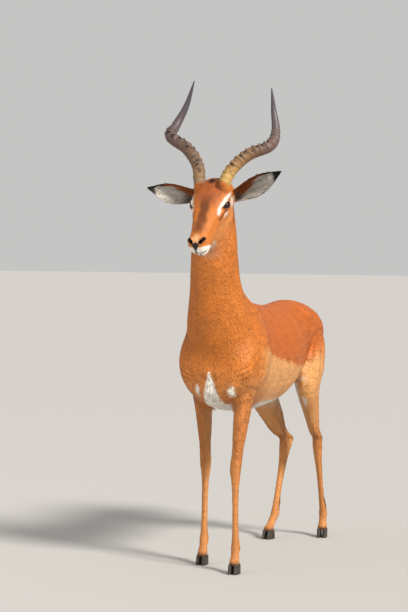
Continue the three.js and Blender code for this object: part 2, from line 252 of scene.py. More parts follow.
def setInputs(tree, node, inputs):
    for key, value in inputs.items():
        if isinstance(value, bpy.types.NodeSocket):
            tree.links.new(value, node.inputs[key])
        else:
            node.inputs[key].default_value = value


def addNode(tree, kind, inputs=None, **settings):
    node = tree.nodes.new(kind)
    for key, value in settings.items():
        setattr(node, key, value)
    setInputs(tree, node, inputs or {})
    return node


def calc(tree, operation, *values):
    return addNode(tree, "ShaderNodeMath", dict(enumerate(values)), operation=operation).outputs[0]


def times(tree, *values):
    product = values[0]
    for value in values[1:]:
        product = calc(tree, "MULTIPLY", product, value)
    return product


def remap(tree, value, low=0.0, high=1.0, to=(0.0, 1.0), **settings):
    # carries low..high to another span and holds the ends
    inputs = {"Value": value, "From Min": low, "From Max": high, "To Min": to[0], "To Max": to[1]}
    return addNode(tree, "ShaderNodeMapRange", inputs, **settings).outputs[0]


def noise(tree, place, scale, detail, roughness=0.5):
    inputs = {"Vector": place, "Scale": scale, "Detail": detail, "Roughness": roughness}
    return addNode(tree, "ShaderNodeTexNoise", inputs).outputs[0]


def scaled(tree, vector, amount):
    return addNode(tree, "ShaderNodeVectorMath", {0: vector, "Scale": amount}, operation="SCALE").outputs[0]


def joined(tree, x=0.0, y=0.0, z=0.0):
    return addNode(tree, "ShaderNodeCombineXYZ", {"X": x, "Y": y, "Z": z}).outputs[0]


def colourMix(tree, share, first, second):
    return addNode(tree, "ShaderNodeMix", {"Factor": share, 6: first, 7: second}, data_type="RGBA").outputs[2]


def bumped(tree, height, strength, distance, **more):
    inputs = {"Height": height, "Strength": strength, "Distance": distance, **more}
    return addNode(tree, "ShaderNodeBump", inputs).outputs[0]


def stored(tree, name, output="Fac"):
    return addNode(tree, "ShaderNodeAttribute", attribute_name=name).outputs[output]


def objectPlace(tree):
    return addNode(tree, "ShaderNodeTexCoord").outputs["Object"]


def linear(rgb):
    c = np.array(rgb, float) / 255
    return np.where(c <= 0.04045, c / 12.92, ((c + 0.055) / 1.055) ** 2.4)


def paint(*rgb):
    return (*linear(rgb), 1)


def tonesAlong(tree, share, tones):
    # a colour ramp through the tones, each with its place
    fade = addNode(tree, "ShaderNodeValToRGB", {"Fac": share})
    stops = fade.color_ramp.elements
    (firstAt, first), *between, (lastAt, last) = tones
    stops[0].position, stops[0].color = firstAt, paint(*first)
    stops[1].position, stops[1].color = lastAt, paint(*last)
    for at, rgb in between:
        stops.new(at).color = paint(*rgb)
    return fade.outputs[0]


def newMaterial(name):
    material = bpy.data.materials.new(name)
    material.use_nodes = True
    tree = material.node_tree
    tree.nodes.clear()
    surface = addNode(tree, "ShaderNodeBsdfPrincipled")
    addNode(tree, "ShaderNodeOutputMaterial", {"Surface": surface.outputs[0]})
    return material, tree, surface


studioPlan = {
    "sky": {"colour": (0.96, 0.96, 0.95), "strength": 0.58},
    "sun": {"from": (0.86, -0.36, 0.72), "power": 4.35, "colour": (1.0, 0.95, 0.88), "spread": 14.0},
    "fill": {"from": (-3.5, -4.5, 1.6), "aimsAt": (0, 0, 0.8), "power": 60, "colour": (1.0, 0.97, 0.94),
             "size": 3.0},
    "floor": {"colour": (0.47, 0.46, 0.445), "roughness": 0.9, "half": 30},
}


def addStudio():
    scene = bpy.context.scene
    scene.view_settings.view_transform = "Standard"
    world = bpy.data.worlds.new("studio")
    world.use_nodes = True
    sky = world.node_tree.nodes["Background"]
    sky.inputs["Color"].default_value = (*studioPlan["sky"]["colour"], 1)
    sky.inputs["Strength"].default_value = studioPlan["sky"]["strength"]
    scene.world = world
    sun = addLamp("keyLight", "SUN", studioPlan["sun"])
    sun.data.angle = math.radians(studioPlan["sun"]["spread"])
    fill = addLamp("fillLamp", "AREA", studioPlan["fill"])
    fill.data.shape = "DISK"
    fill.data.size = studioPlan["fill"]["size"]
    fill.location = Vector(studioPlan["fill"]["aimsAt"]) + Vector(studioPlan["fill"]["from"])
    mesh = bpy.data.meshes.new("floor")
    far = studioPlan["floor"]["half"]
    mesh.from_pydata([(-far, -far, 0), (far, -far, 0), (far, far, 0), (-far, far, 0)], [], [(0, 1, 2, 3)])
    floor = newObject("floor", mesh)
    material, tree, surface = newMaterial("paleFloor")
    setInputs(tree, surface, {"Base Color": (*studioPlan["floor"]["colour"], 1),
                              "Roughness": studioPlan["floor"]["roughness"]})
    mesh.materials.append(material)


addCamera()
addStudio()
print("camera and studio set")


# the horns: a tapering round swept along a path and ringed over its lower two thirds; the skin
# climbs a little way up their roots
hornPlan = {
    "baseRadius": 0.019, "tipRadius": 0.0012, "rings": 15, "ringed": 0.66, "ringHeight": 0.0048,
    # painted light and shade: how far each horn takes the lit tones; the right horn, on the shaded side,
    # mostly takes the darker copy
    "warmth": {"left": 1.0, "right": 0.15},
    "pathPoints": 300, "stations": 420, "sides": 48, "waist": 0.12, "belly": 0.13,
    # out, back and up from the crown
    "left": [(0.042, 0.002, -0.034), (0.044, -0.008, -0.002), (0.061, 0.027, 0.048), (0.106, 0.052, 0.092),
             (0.167, 0.083, 0.122), (0.168, 0.130, 0.168), (0.153, 0.148, 0.239), (0.145, 0.146, 0.313)],
    "right": [(0.042, 0.002, -0.034), (0.044, -0.008, -0.002), (0.058, 0.010, 0.052), (0.106, 0.036, 0.107),
              (0.174, 0.055, 0.148), (0.183, 0.113, 0.182), (0.155, 0.139, 0.252), (0.127, 0.139, 0.337)],
}


def hornStops(side):
    # the stops of a horn's path as places in the scene
    x, y, z = (np.array(hornPlan[side]) * (signOf[side], 1, 1)).T
    c, s = math.cos(faceSlope), math.sin(faceSlope)
    return fromFace(np.stack([-c * y - s * z, x, -s * y + c * z], 1))


# the skin: one closed surface over all the nodes of flesh
skinPlan = {
    "voxel": 0.0016,
    "smoothRounds": 90,
    "meltRounds": 620,
    "grow": 0.0003,  # closes the parting cuts
    "cut": 0.0009,  # faces nearer than this, back to back, are a parting cut
    "weld": 0.0006,
    "mostBulge": 0.005,
    "facesKept": 190000,
    "roundness": 0.72,
    "collarAbove": -0.010,  # how far the skin climbs up a horn
}
# how hard each kind of part is smoothed, and how deep its skin lies under the coat
smoothing = {"trunk": 1.0, "neck": 1.0, "head": 0.22, "ear": 0.1, "foreleg_upper": 0.6, "hindleg_upper": 0.7,
             "foreleg_lower": 0.22, "hindleg_lower": 0.22, "tail": 0.5, "eye": 0.1, "horn": 0.2}
coatDepth = {"trunk": 0.0028, "neck": 0.0026, "head": 0.0010, "ear": 0.0009, "foreleg_upper": 0.0018,
             "hindleg_upper": 0.0022, "foreleg_lower": 0.0010, "hindleg_lower": 0.0010, "tail": 0.005,
             "eye": 0.0, "horn": -0.0030}
fleshNodes = sorted(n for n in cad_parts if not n.startswith(("horn", "eye", "hoof")))
headParts = ["head", "eye_left", "eye_right", "horn_left", "horn_right"]


def kindOf(name):
    return next(k for k in smoothing if name.startswith(k))


def nodeShell(name):
    # a node's points and triangles with the doubles merged
    bm = bmesh.new()
    bm.from_mesh(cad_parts[name].data)
    bmesh.ops.remove_doubles(bm, verts=bm.verts, dist=1e-6)
    if name.startswith("horn"):
        root, above = hornStops(name[5:])[1:3]
        way = unit(above - root)
        cut = bmesh.ops.bisect_plane(bm, geom=bm.verts[:] + bm.edges[:] + bm.faces[:], plane_no=way,
                                     plane_co=root + way * skinPlan["collarAbove"], clear_outer=True)
        edges = [e for e in cut["geom_cut"] if isinstance(e, bmesh.types.BMEdge)]
        bmesh.ops.contextual_create(bm, geom=edges)
        bmesh.ops.triangulate(bm, faces=bm.faces)
    bm.normal_update()
    points = np.array([v.co for v in bm.verts])
    normals = np.array([v.normal for v in bm.verts])
    faces = np.array([[v.index for v in f.verts] for f in bm.faces])
    bm.free()
    return points, normals, faces


def makeShells():
    names = fleshNodes + headParts[1:]
    points, grown, faces, owner = [], [], [], []
    start = 0
    for i, name in enumerate(names):
        places, normals, triangles = nodeShell(name)
        points.append(places)
        grown.append(places + normals * skinPlan["grow"])
        faces.append(triangles + start)
        owner.append(np.full(len(triangles), i))
        start += len(places)
    return names, np.vstack(points), np.vstack(grown), np.vstack(faces), np.concatenate(owner)


def outerSurface(points, faces, owner):
    # leaves out the faces of the parting cuts, and welds the rims across them
    tree = BVHTree.FromPolygons(points.tolist(), faces.tolist())
    middles = points[faces].mean(1)
    normals = unit(faceNormals(points, faces))
    keep = np.ones(len(faces), bool)
    for i, middle in enumerate(middles):
        for _, _, other, _ in tree.find_nearest_range(Vector(middle), skinPlan["cut"]):
            if owner[other] != owner[i] and normals[other] @ normals[i] < -0.8:
                keep[i] = False
                break
    bm = bmesh.new()
    verts = [bm.verts.new(p) for p in points]
    layer = bm.faces.layers.int.new("owner")
    for f, o in zip(faces[keep], owner[keep]):
        bm.faces.new([verts[k] for k in f])[layer] = int(o)
    bmesh.ops.remove_doubles(bm, verts=bm.verts, dist=skinPlan["weld"])
    bmesh.ops.triangulate(bm, faces=bm.faces)
    bm.verts.index_update()
    outer = np.array([v.co for v in bm.verts])
    outerFaces = np.array([[v.index for v in f.verts] for f in bm.faces])
    outerOwner = np.array([f[layer] for f in bm.faces])
    bm.free()
    return outer, outerFaces, outerOwner


def rounded(points, outer, outerFaces, tree):
    # puts points on the shells, bulged between the flat faces as their normals say
    normals = np.zeros_like(outer)
    flat = faceNormals(outer, outerFaces)
    for k in range(3):
        np.add.at(normals, outerFaces[:, k], flat)
    normals = unit(normals)
    place = np.empty_like(points)
    index = np.empty(len(points), int)
    find = tree.find_nearest
    for i, p in enumerate(points.tolist()):
        hit = find(p)
        place[i] = hit[0]
        index[i] = hit[2]
    corners = outerFaces[index]
    a, b, c = (outer[corners[:, k]] for k in range(3))
    whole = np.linalg.norm(np.cross(b - a, c - a), axis=1).clip(1e-12)
    shares = [np.linalg.norm(np.cross(one - place, other - place), axis=1) / whole
              for one, other in ((b, c), (c, a), (a, b))]
    bulge = np.zeros_like(points)
    for share, corner, k in zip(shares, (a, b, c), range(3)):
        n = normals[corners[:, k]]
        bulge -= (share * ((place - corner) * n).sum(1))[:, None] * n
    size = np.linalg.norm(bulge, axis=1, keepdims=True)
    bulge *= np.minimum(1, skinPlan["mostBulge"] / size.clip(1e-9))
    return place, bulge, index


def makeSkin():
    names, points, grown, faces, owner = makeShells()
    outer, outerFaces, outerOwner = outerSurface(points, faces, owner)
    mesh = bpy.data.meshes.new("flesh")
    mesh.from_pydata(grown.tolist(), [], faces.tolist())
    flesh = newObject("flesh", mesh)
    fuse = flesh.modifiers.new("fuse", "REMESH")
    fuse.mode = "VOXEL"
    fuse.voxel_size = skinPlan["voxel"]
    fuse.adaptivity = 0
    skin = settled(flesh, "skin")
    print("skin fused:", len(skin.data.polygons), "faces")
    refineFace(skin)
    mesh = skin.data
    rough = pointsOf(mesh)
    tree = BVHTree.FromPolygons(outer.tolist(), outerFaces.tolist())
    place, bulge, index = rounded(rough, outer, outerFaces, tree)
    kinds = [kindOf(names[o]) for o in outerOwner]
    label = np.array([names[o] for o in outerOwner])[index]
    kindList = list(smoothing)
    kindIndex = np.array([kindList.index(k) for k in kinds])[index]
    roundness = np.where(np.isin(kindIndex, [kindList.index(k) for k in ("ear", "eye", "horn")]), 0.0,
                         skinPlan["roundness"])
    # where the shells part by more than a voxel the fused surface is kept
    far = np.linalg.norm(rough - place, axis=1) > skinPlan["voxel"] * 1.2
    place[far] = rough[far]
    place += bulge * (roundness * ~far)[:, None]
    links = linksOf(mesh)
    strength, depth = (relax(np.array([plan[k] for k in kindList])[kindIndex], links, 0.5, 20)
                       for plan in (smoothing, coatDepth))
    rounds = skinPlan["smoothRounds"]
    smooth = relax(place, links, 0.6 * strength, rounds)
    placePoints(mesh, smooth)
    normals = normalsOf(mesh)
    lost = relax(rowDot(place - smooth, normals), links, 0.5, rounds // 2)
    smooth += normals * (lost - depth)[:, None]
    placePoints(mesh, meltJoins(mesh, smooth, np.array(kindList)[kindIndex], links))
    print("skin smoothed")
    return skin, label, links


# how far the parts melt into each other on each side of where they meet: fully to the first
# distance, not at all past the second, and how strongly
joinReach = {("neck", "trunk"): (0.05, 0.12, 1.0), ("head", "neck"): (0.035, 0.085, 1.0),
             ("foreleg_upper", "trunk"): (0.025, 0.075, 1.0), ("hindleg_upper", "trunk"): (0.04, 0.10, 1.0),
             ("tail", "trunk"): (0.003, 0.016, 1.0), ("foreleg_lower", "foreleg_upper"): (0.010, 0.035, 0.12),
             ("hindleg_lower", "hindleg_upper"): (0.008, 0.030, 0.08)}


def meltJoins(mesh, points, kinds, links):
    weight = np.zeros(len(points))
    ends = kinds[links]
    for (one, other), (full, none, strength) in joinReach.items():
        across = np.isin(ends, (one, other)).all(1) & (ends[:, 0] != ends[:, 1])
        seam = points[links[across][:, 0]][::3]
        tree = KDTree(len(seam))
        for i, p in enumerate(seam.tolist()):
            tree.insert(p, i)
        tree.balance()
        near = np.flatnonzero(np.all((points > seam.min(0) - none) & (points < seam.max(0) + none), 1)
                              & np.isin(kinds, (one, other)))
        gap = np.array([tree.find(p)[2] for p in points[near].tolist()])
        weight[near] = np.maximum(weight[near], strength * (1 - ramp(gap, full, none)))
    moving = weight > 0.001
    chosen = moving.copy()
    chosen[links[moving[links].any(1)]] = True
    order = np.cumsum(chosen) - 1
    inner = order[links[chosen[links].all(1)]]
    pull = 0.9 * weight[chosen]
    rounds = skinPlan["meltRounds"]
    before = points[chosen]
    after = relax(before, inner, pull, rounds)
    points[chosen] = after
    placePoints(mesh, points)
    normals = normalsOf(mesh)[chosen]
    lost = relax(rowDot(before - after, normals), inner, pull, rounds)
    points[chosen] = after + normals * lost[:, None]
    return points


def refineFace(skin):
    # finer faces round the eyes, the nostrils and the mouth
    mesh = skin.data
    middles = readMesh(mesh, "center", "polygons").astype(float)
    face = toFace(middles)
    near = np.zeros(len(middles), bool)
    for side in signOf:
        near |= np.linalg.norm(middles - eyeAt[side], axis=1) < 0.030
    near |= (face[:, 0] > 0.205) & (face[:, 2] > -0.062)
    bm = bmesh.new()
    bm.from_mesh(mesh)
    bm.faces.ensure_lookup_table()
    chosen = [bm.faces[i] for i in np.flatnonzero(near)]
    edges = list({e for f in chosen for e in f.edges})
    bmesh.ops.subdivide_edges(bm, edges=edges, cuts=1, use_grid_fill=True)
    bmesh.ops.triangulate(bm, faces=[f for f in bm.faces if len(f.verts) > 4])
    bm.to_mesh(mesh)
    bm.free()


skin, skinLabel, skinLinks = makeSkin()


# shadeFadesTo: the share along the ear over which the painted shade at the root of the lining fades out; it
# reaches further up the right ear, on the shaded side
earShape = {
    "left": {"along": 0.002, "out": 0.054, "above": -0.072, "length": 0.186, "lift": 0.031,
             "tip": (0.88, -0.17, 0.24), "faces": (0, -1, -0.1), "shadeFadesTo": (0.04, 0.20)},
    "right": {"along": 0.002, "out": 0.054, "above": -0.072, "length": 0.186, "lift": 0.036,
              "tip": (0.93, -0.28, -0.05), "faces": (-0.3, -1, 0.05), "shadeFadesTo": (0.24, 0.42)},
}
earBreadth = 0.03  # half of it, where the ear is broadest


def earAxes(side):
    # an ear's root and the ways to its tip, out of its hollow and across it
    ear = earShape[side]
    root = fromFace((ear["along"], signOf[side] * ear["out"], ear["above"]))
    tip = unit(np.array(ear["tip"]) * (signOf[side], 1, 1))
    faces = unit(np.array(ear["faces"]) * (signOf[side], 1, 1))
    return root, tip, faces, unit(np.cross(tip, faces)) * signOf[side]


def onEarAxes(points, normals, side, outward=0.016):
    # share along the ear, place across its middle line, and above zero inside the hollow
    ear = earShape[side]
    root, tip, faces, across = earAxes(side)
    share = (points - root) @ tip / ear["length"]
    middle = root + np.clip(share, 0, 1)[:, None] * tip * ear["length"]
    middle[:, 2] += ear["lift"] * np.clip(share, 0, 1) ** 2
    return share, (points - middle) @ across, rowDot(middle + faces * outward - points, normals)


# muscles and bones under the skin: a route, its half width and its height, below zero for a furrow
bodyStrokes = {
    "throatFurrow": ([(0.045, -0.235, 1.12), (0.062, -0.24, 1.0), (0.070, -0.235, 0.86),
                      (0.070, -0.24, 0.76)], 0.013, -0.0035),
    "shoulderFront": ([(0.050, -0.10, 0.90), (0.085, -0.15, 0.82), (0.105, -0.19, 0.72),
                       (0.09, -0.215, 0.64)], 0.026, -0.0030),
    "armBack": ([(0.105, 0.0, 0.80), (0.125, 0.0, 0.72), (0.12, -0.035, 0.64), (0.10, -0.06, 0.585)],
                0.026, -0.0026),
    "armMuscle": ([(0.115, -0.07, 0.73), (0.11, -0.09, 0.66)], 0.035, 0.0040),
    "shoulderTop": ([(0.096, -0.035, 0.845), (0.118, -0.065, 0.790)], 0.055, 0.0100),
    "shoulderPoint": ([(0.095, -0.20, 0.675), (0.10, -0.19, 0.65)], 0.020, 0.0040),
    "breastFurrow": ([(0, -0.235, 0.74), (0, -0.23, 0.64), (0, -0.20, 0.575)], 0.011, -0.0045),
    "hipBone": ([(0.070, 0.43, 0.850), (0.095, 0.44, 0.825)], 0.024, 0.0038),
    "loinHollow": ([(0.09, 0.35, 0.80), (0.105, 0.37, 0.75)], 0.040, -0.0036),
    "flankFold": ([(0.105, 0.36, 0.68), (0.110, 0.40, 0.62), (0.10, 0.42, 0.57)], 0.012, 0.0040),
    "thighFurrow": ([(0.090, 0.60, 0.78), (0.10, 0.585, 0.70), (0.095, 0.56, 0.61)], 0.012, -0.0035),
    "thighMuscle": ([(0.115, 0.52, 0.80), (0.12, 0.53, 0.72), (0.12, 0.50, 0.64)], 0.050, 0.0070),
    "backLine": ([(0, 0.02, 0.90), (0, 0.2, 0.87), (0, 0.45, 0.88)], 0.010, 0.0015),
}
headStrokes = {
    "brow": ([(0.102, 0.046, -0.014), (0.077, 0.056, -0.006), (0.048, 0.060, -0.014)], 0.007, 0.0028),
    "temple": ([(0.040, 0.060, -0.030), (0.020, 0.058, -0.040)], 0.011, -0.0030),
    "cheekBone": ([(0.112, 0.046, -0.046), (0.08, 0.060, -0.062), (0.03, 0.060, -0.070)], 0.008, 0.0022),
    "tearHollow": ([(0.108, 0.047, -0.030), (0.135, 0.042, -0.034)], 0.007, -0.0022),
    "noseSide": ([(0.125, 0.043, -0.030), (0.165, 0.036, -0.032), (0.200, 0.032, -0.030)], 0.010, -0.0028),
    "cheekFront": ([(0.120, 0.048, -0.062), (0.150, 0.044, -0.075), (0.160, 0.036, -0.095)], 0.011, -0.0020),
    "jawMuscle": ([(0.05, 0.056, -0.090), (0.080, 0.052, -0.100)], 0.022, 0.0020),
    "upperLip": ([(0.252, 0.014, -0.030), (0.232, 0.029, -0.046), (0.205, 0.033, -0.060)], 0.008, 0.0016),
    "noseMiddle": ([(0.238, 0, -0.002), (0.256, 0, -0.012), (0.262, 0, -0.030)], 0.0025, -0.0022),
}
mouthPlan = {"line": [(0.262, 0, -0.040), (0.246, 0, -0.047), (0.222, 0, -0.060), (0.198, 0, -0.073)],
             "width": 0.0014, "depth": 0.0036}
nostrilPlan = {"route": [(0.246, 0.0075, -0.0180), (0.242, 0.0160, -0.0095), (0.234, 0.0235, -0.0065),
                         (0.224, 0.0270, -0.0105)], "width": 0.0042, "depth": 0.012}
lidPlan = {"halfLength": 0.0165, "upper": 0.0100, "lower": 0.0072, "proud": 0.0019, "pocket": 0.004}


# the nape drawn in above the withers: how far, at which height
napePlan = {"heights": (0.86, 0.92, 0.96, 1.00, 1.04, 1.09, 1.14, 1.18),
            "forward": (0.0, 0.014, 0.028, 0.030, 0.024, 0.014, 0.005, 0.0), "narrower": 0.45}


def drawNape(points):
    body = toBody(points)
    inNeck = ((skinLabel == "neck") | (skinLabel == "trunk")) & (points[:, 2] > 0.86)
    amount = np.interp(points[:, 2], napePlan["heights"], napePlan["forward"])
    middle = np.interp(points[:, 2], (0.84, 1.0, 1.16), (-0.330, -0.330, -0.335))
    share = ramp((points[:, 1] - middle) / 0.11, -0.15, 0.95) * inNeck
    share = relax(share * amount, skinLinks, 0.5, 20)
    points[:, 1] -= share
    points[:, 0] -= napePlan["narrower"] * share * np.clip(body[:, 0] / 0.06, -1, 1)
    return points


# beside the tendons and the fetlocks: the heights passed, how far back in the leg's thickness,
# the half width and the height off the skin
legFurrows = [
    ("foreleg_lower_", (0.290, 0.24, 0.18, 0.125), 0.25, 0.0045, -0.0021),
    ("hindleg_lower_", (0.300, 0.24, 0.18, 0.125), 0.20, 0.0045, -0.0023),
    ("hindleg_upper_", (0.385, 0.42, 0.46), 0.35, 0.010, -0.0045),
    ("foreleg_lower_", (0.092, 0.082), 0.2, 0.010, 0.0015),
    ("hindleg_lower_", (0.092, 0.082), 0.2, 0.010, 0.0015),
]
# the knobs at the back of the joints: the height, the half width and the height off the skin
legKnobs = [
    ("foreleg_upper_", 0.352, 0.012, 0.0022), ("hindleg_upper_", 0.368, 0.012, 0.0030),
    ("foreleg_lower_", 0.088, 0.010, 0.0030), ("hindleg_lower_", 0.088, 0.010, 0.0030),
]


def legSlice(points, name, height):
    here = points[(skinLabel == name) & (np.abs(points[:, 2] - height) < 0.006)]
    low, high = here.min(0), here.max(0)
    return (low + high) / 2, (high - low) / 2


def legStrokes(points):
    # the routes are found from the leg's own thickness
    strokes = []
    for side in signOf:
        for name, heights, back, width, height in legFurrows:
            for way in (-1, 1):
                route = []
                for z in heights:
                    middle, half = legSlice(points, name + side, z)
                    route.append(middle + half * (way, back, 0))
                strokes.append((route, width, height))
        for name, z, width, height in legKnobs:
            middle, half = legSlice(points, name + side, z)
            behind = middle + half * (0, 1, 0)
            strokes.append(([behind, behind + (0, 0, 0.012)], width, height))
    return strokes


def strokeLift(points, strokes):
    lift = np.zeros(len(points))
    for route, width, height in strokes:
        gap, share = nearRoute(points, route, 3 * width)
        # the wide ones are too short to taper at their ends
        ends = 1 if width > 0.02 else np.minimum(1, 4 * np.minimum(share, 1 - share) + 0.35)
        lift += height * np.exp(-(gap / width) ** 2) * ends * (gap < 3 * width)
    return lift


def eyeFrame(side):
    # gaze, back corner and upward directions of an eye
    gaze = unit(np.array((signOf[side] * 0.86, -0.46, 0.06)))
    back = -(0.8 * alongAxis + 0.6 * aboveAxis)
    back = unit(back - gaze * (back @ gaze))
    upward = np.cross(gaze, back) * signOf[side]
    return gaze, back, upward if upward[2] > 0 else -upward


def lidGap(points, side):
    # distance outside the opening between the lids, measured over the eyeball, the height on it, and
    # how far and which way the point lies from the eye's middle
    gaze, back, upward = eyeFrame(side)
    away = points - eyeAt[side]
    far = np.linalg.norm(away, axis=1).clip(1e-6)
    way = away / far[:, None]
    radius = headShape["eyeRadius"]
    x = np.arctan2(way @ back, way @ gaze) * radius
    y = np.arcsin(np.clip(way @ upward, -1, 1)) * radius
    y = y - 0.10 * x  # the front corner hangs lower
    tall = np.where(y > 0, lidPlan["upper"], lidPlan["lower"])
    wide = np.abs(x / lidPlan["halfLength"])
    power = np.where(x < 0, 1.8, 2.2)
    over = np.sqrt((y / tall) ** 2 + 0.004) + wide ** power - 1
    slope = np.hypot(1 / tall, power * wide ** (power - 1) / lidPlan["halfLength"])
    return over / slope, y, far, way


def shapeLids(points, side):
    gap, y, far, way = lidGap(points, side)
    gaze = eyeFrame(side)[0]
    near = (far < 0.036) & (way @ gaze > 0.05)
    radius = headShape["eyeRadius"]
    inner = radius - lidPlan["pocket"]
    crest = radius + lidPlan["proud"] + 0.0008 * ramp(y, 0, 0.004)
    rim = inner + (crest - inner) * ramp(gap, -0.0012, 0.0010)
    natural = np.maximum(far, radius + 0.0010)
    target = rim + (natural - rim) * ramp(gap, 0.0028, 0.0110)
    upperFold = np.exp(-((gap - 0.0062) / 0.0013) ** 2) * ramp(y, 0.001, 0.006)
    lowerFold = np.exp(-((gap - 0.0048) / 0.0012) ** 2) * ramp(-y, 0.001, 0.005)
    target = target - 0.0016 * upperFold - 0.0009 * lowerFold
    points[near] = eyeAt[side] + way[near] * target[near][:, None]
    return points


def shapeMuzzle(points, normals):
    face = toFace(points)
    gap, share = nearRoute(folded(face, 1), nostrilPlan["route"], 0.02)
    width = nostrilPlan["width"] * (0.55 + 0.9 * share * (1 - share) * 2)
    pit = nostrilPlan["depth"] * (1 - ramp(gap, width * 0.35, width * 1.5))
    wing = 0.0020 * np.exp(-((gap - width * 2.0) / 0.003) ** 2)
    mouthGap, mouthShare = nearRoute(face * (1, 0, 1), mouthPlan["line"], 0.02)
    inHead = (skinLabel == "head") & (face[:, 0] > 0.19)
    wide = mouthPlan["width"]
    groove = mouthPlan["depth"] * np.exp(-(mouthGap / wide) ** 2) * (1 - 0.8 * ramp(mouthShare, 0.8, 1))
    lips = 0.0012 * np.exp(-((mouthGap - 0.005) / 0.003) ** 2)
    lift = inHead * (wing + lips - pit - groove)
    return points + normals * lift[:, None], inHead * pit / nostrilPlan["depth"]


def sculpt(skin):
    points = drawNape(pointsOf(skin.data))
    placePoints(skin.data, points)
    normals = normalsOf(skin.data)
    lift = strokeLift(folded(toBody(points), 0), bodyStrokes.values())
    lift += (skinLabel == "head") * strokeLift(folded(toFace(points), 1), headStrokes.values())
    lift += strokeLift(points, legStrokes(points))
    for side in signOf:
        share, high, hollow = onEarAxes(points, normals, side, 0.014)
        folds = np.cos(high / earBreadth * 9) * ramp(share, 0.12, 0.35) * (1 - ramp(share, 0.7, 0.9))
        lift += 0.0011 * folds * ((hollow > 0) & (skinLabel == "ear_" + side))
    points = points + normals * lift[:, None]
    placePoints(skin.data, points)
    points, pit = shapeMuzzle(points, normalsOf(skin.data))
    for side in signOf:
        points = shapeLids(points, side)
    placePoints(skin.data, points)
    return pit


nostrilPit = sculpt(skin)
print("skin sculpted")


def unfold(obj):
    # eases out the few faces that have turned over
    mesh = obj.data
    links = linksOf(mesh)
    starts, _, corners = faceCorners(mesh)
    faces = corners[starts[:, None] + np.arange(3)]
    for _ in range(10):
        points = pointsOf(mesh)
        around = unit(normalsOf(mesh)[faces].sum(1))
        turned = rowDot(unit(faceNormals(points, faces)), around) < 0.1
        pull = np.zeros(len(points))
        pull[faces[turned]] = 0.8
        placePoints(mesh, relax(points, links, pull, 1))
    print("turned faces left:", turned.sum())


crumplePlan = {"body": 0.00022, "head": 0.00040, "ears": 0.00032, "muzzle": 0.0009, "lids": 0.0016, "seed": 7}


def thinned(skin, label, pit, target):
    # fewer, even triangles: a crumpled copy is decimated, then laid back on the fine skin
    mesh = skin.data
    points = pointsOf(mesh)
    face = toFace(points)
    eyeGap = np.minimum(*(np.linalg.norm(points - eyeAt[side], axis=1) for side in signOf))
    # where the crumple is higher more triangles are kept
    crumple = np.full(len(points), crumplePlan["body"])
    crumple[label == "head"] = crumplePlan["head"]
    crumple[np.char.startswith(label, "ear")] = crumplePlan["ears"]
    crumple[(face[:, 0] > 0.205) & (face[:, 2] > -0.07) & (label == "head")] = crumplePlan["muzzle"]
    crumple[eyeGap < 0.027] = crumplePlan["lids"]
    chance = np.random.default_rng(crumplePlan["seed"])
    tree = BVHTree.FromObject(skin, bpy.context.evaluated_depsgraph_get())
    starts, sides, corners = faceCorners(mesh)
    firstVertex = corners[starts]
    rough = skin.copy()
    rough.data = mesh.copy()
    bpy.context.scene.collection.objects.link(rough)
    placePoints(rough.data, points + normalsOf(mesh) * (crumple * chance.normal(size=len(points)))[:, None])
    fewer = rough.modifiers.new("fewer", "DECIMATE")
    fewer.ratio = min(1.0, target / (sides - 2).sum())
    fewer.use_collapse_triangulate = True
    fine = settled(rough, "skin")
    bpy.data.objects.remove(skin)
    back = pointsOf(fine.data)
    found = np.empty(len(back), int)
    for i, p in enumerate(back.tolist()):
        hit = tree.find_nearest(p)
        back[i] = hit[0]
        found[i] = hit[2]
    placePoints(fine.data, back)
    unfold(fine)
    return fine, label[firstVertex[found]], pit[firstVertex[found]]


skin, skinLabel, nostrilPit = thinned(skin, skinLabel, nostrilPit, skinPlan["facesKept"])
skin.name = "skin"
smoothShaded(skin.data)
skinLinks = linksOf(skin.data)
print("skin ready:", len(skin.data.polygons), "faces")


# the markings, shared by the skin and the coat, with painted shade at the roots of the ears
coatColours = {
    "saddle": (190, 97, 27), "orange": (200, 114, 40), "tan": (218, 156, 94), "leg": (190, 116, 56),
    "cheek": (208, 134, 72), "white": (240, 234, 222), "brown": (88, 42, 24), "black": (22, 17, 15),
    "crown": (170, 90, 40), "earBack": (176, 98, 48), "grey": (150, 138, 132), "cream": (226, 178, 128),
}


# lines on one side of the face: the pale brow, the dark tear mark and the dark line behind the eye
headLines = {
    "brow": [(0.120, 0.041, -0.020), (0.104, 0.047, -0.014), (0.088, 0.053, -0.010), (0.069, 0.059, -0.010),
             (0.050, 0.061, -0.016), (0.030, 0.061, -0.027)],
    "tear": [(0.094, 0.056, -0.034), (0.110, 0.050, -0.035), (0.130, 0.044, -0.036)],
    "behindEye": [(0.056, 0.064, -0.030), (0.036, 0.062, -0.034), (0.020, 0.060, -0.046)],
}
crownTuft = ((0.004, -0.002, 0.004), (0.011, 0.010, 0.02), 0.25)  # the black hair between the horns


def spot(places, centre, radii, soft=0.35):
    far = np.linalg.norm((places - np.array(centre)) / np.array(radii), axis=1)
    return 1 - ramp(far, 1 - soft, 1 + soft)


def blend(colour, name, mask):
    return colour + (linear(coatColours[name]) - colour) * np.clip(mask, 0, 1)[:, None]


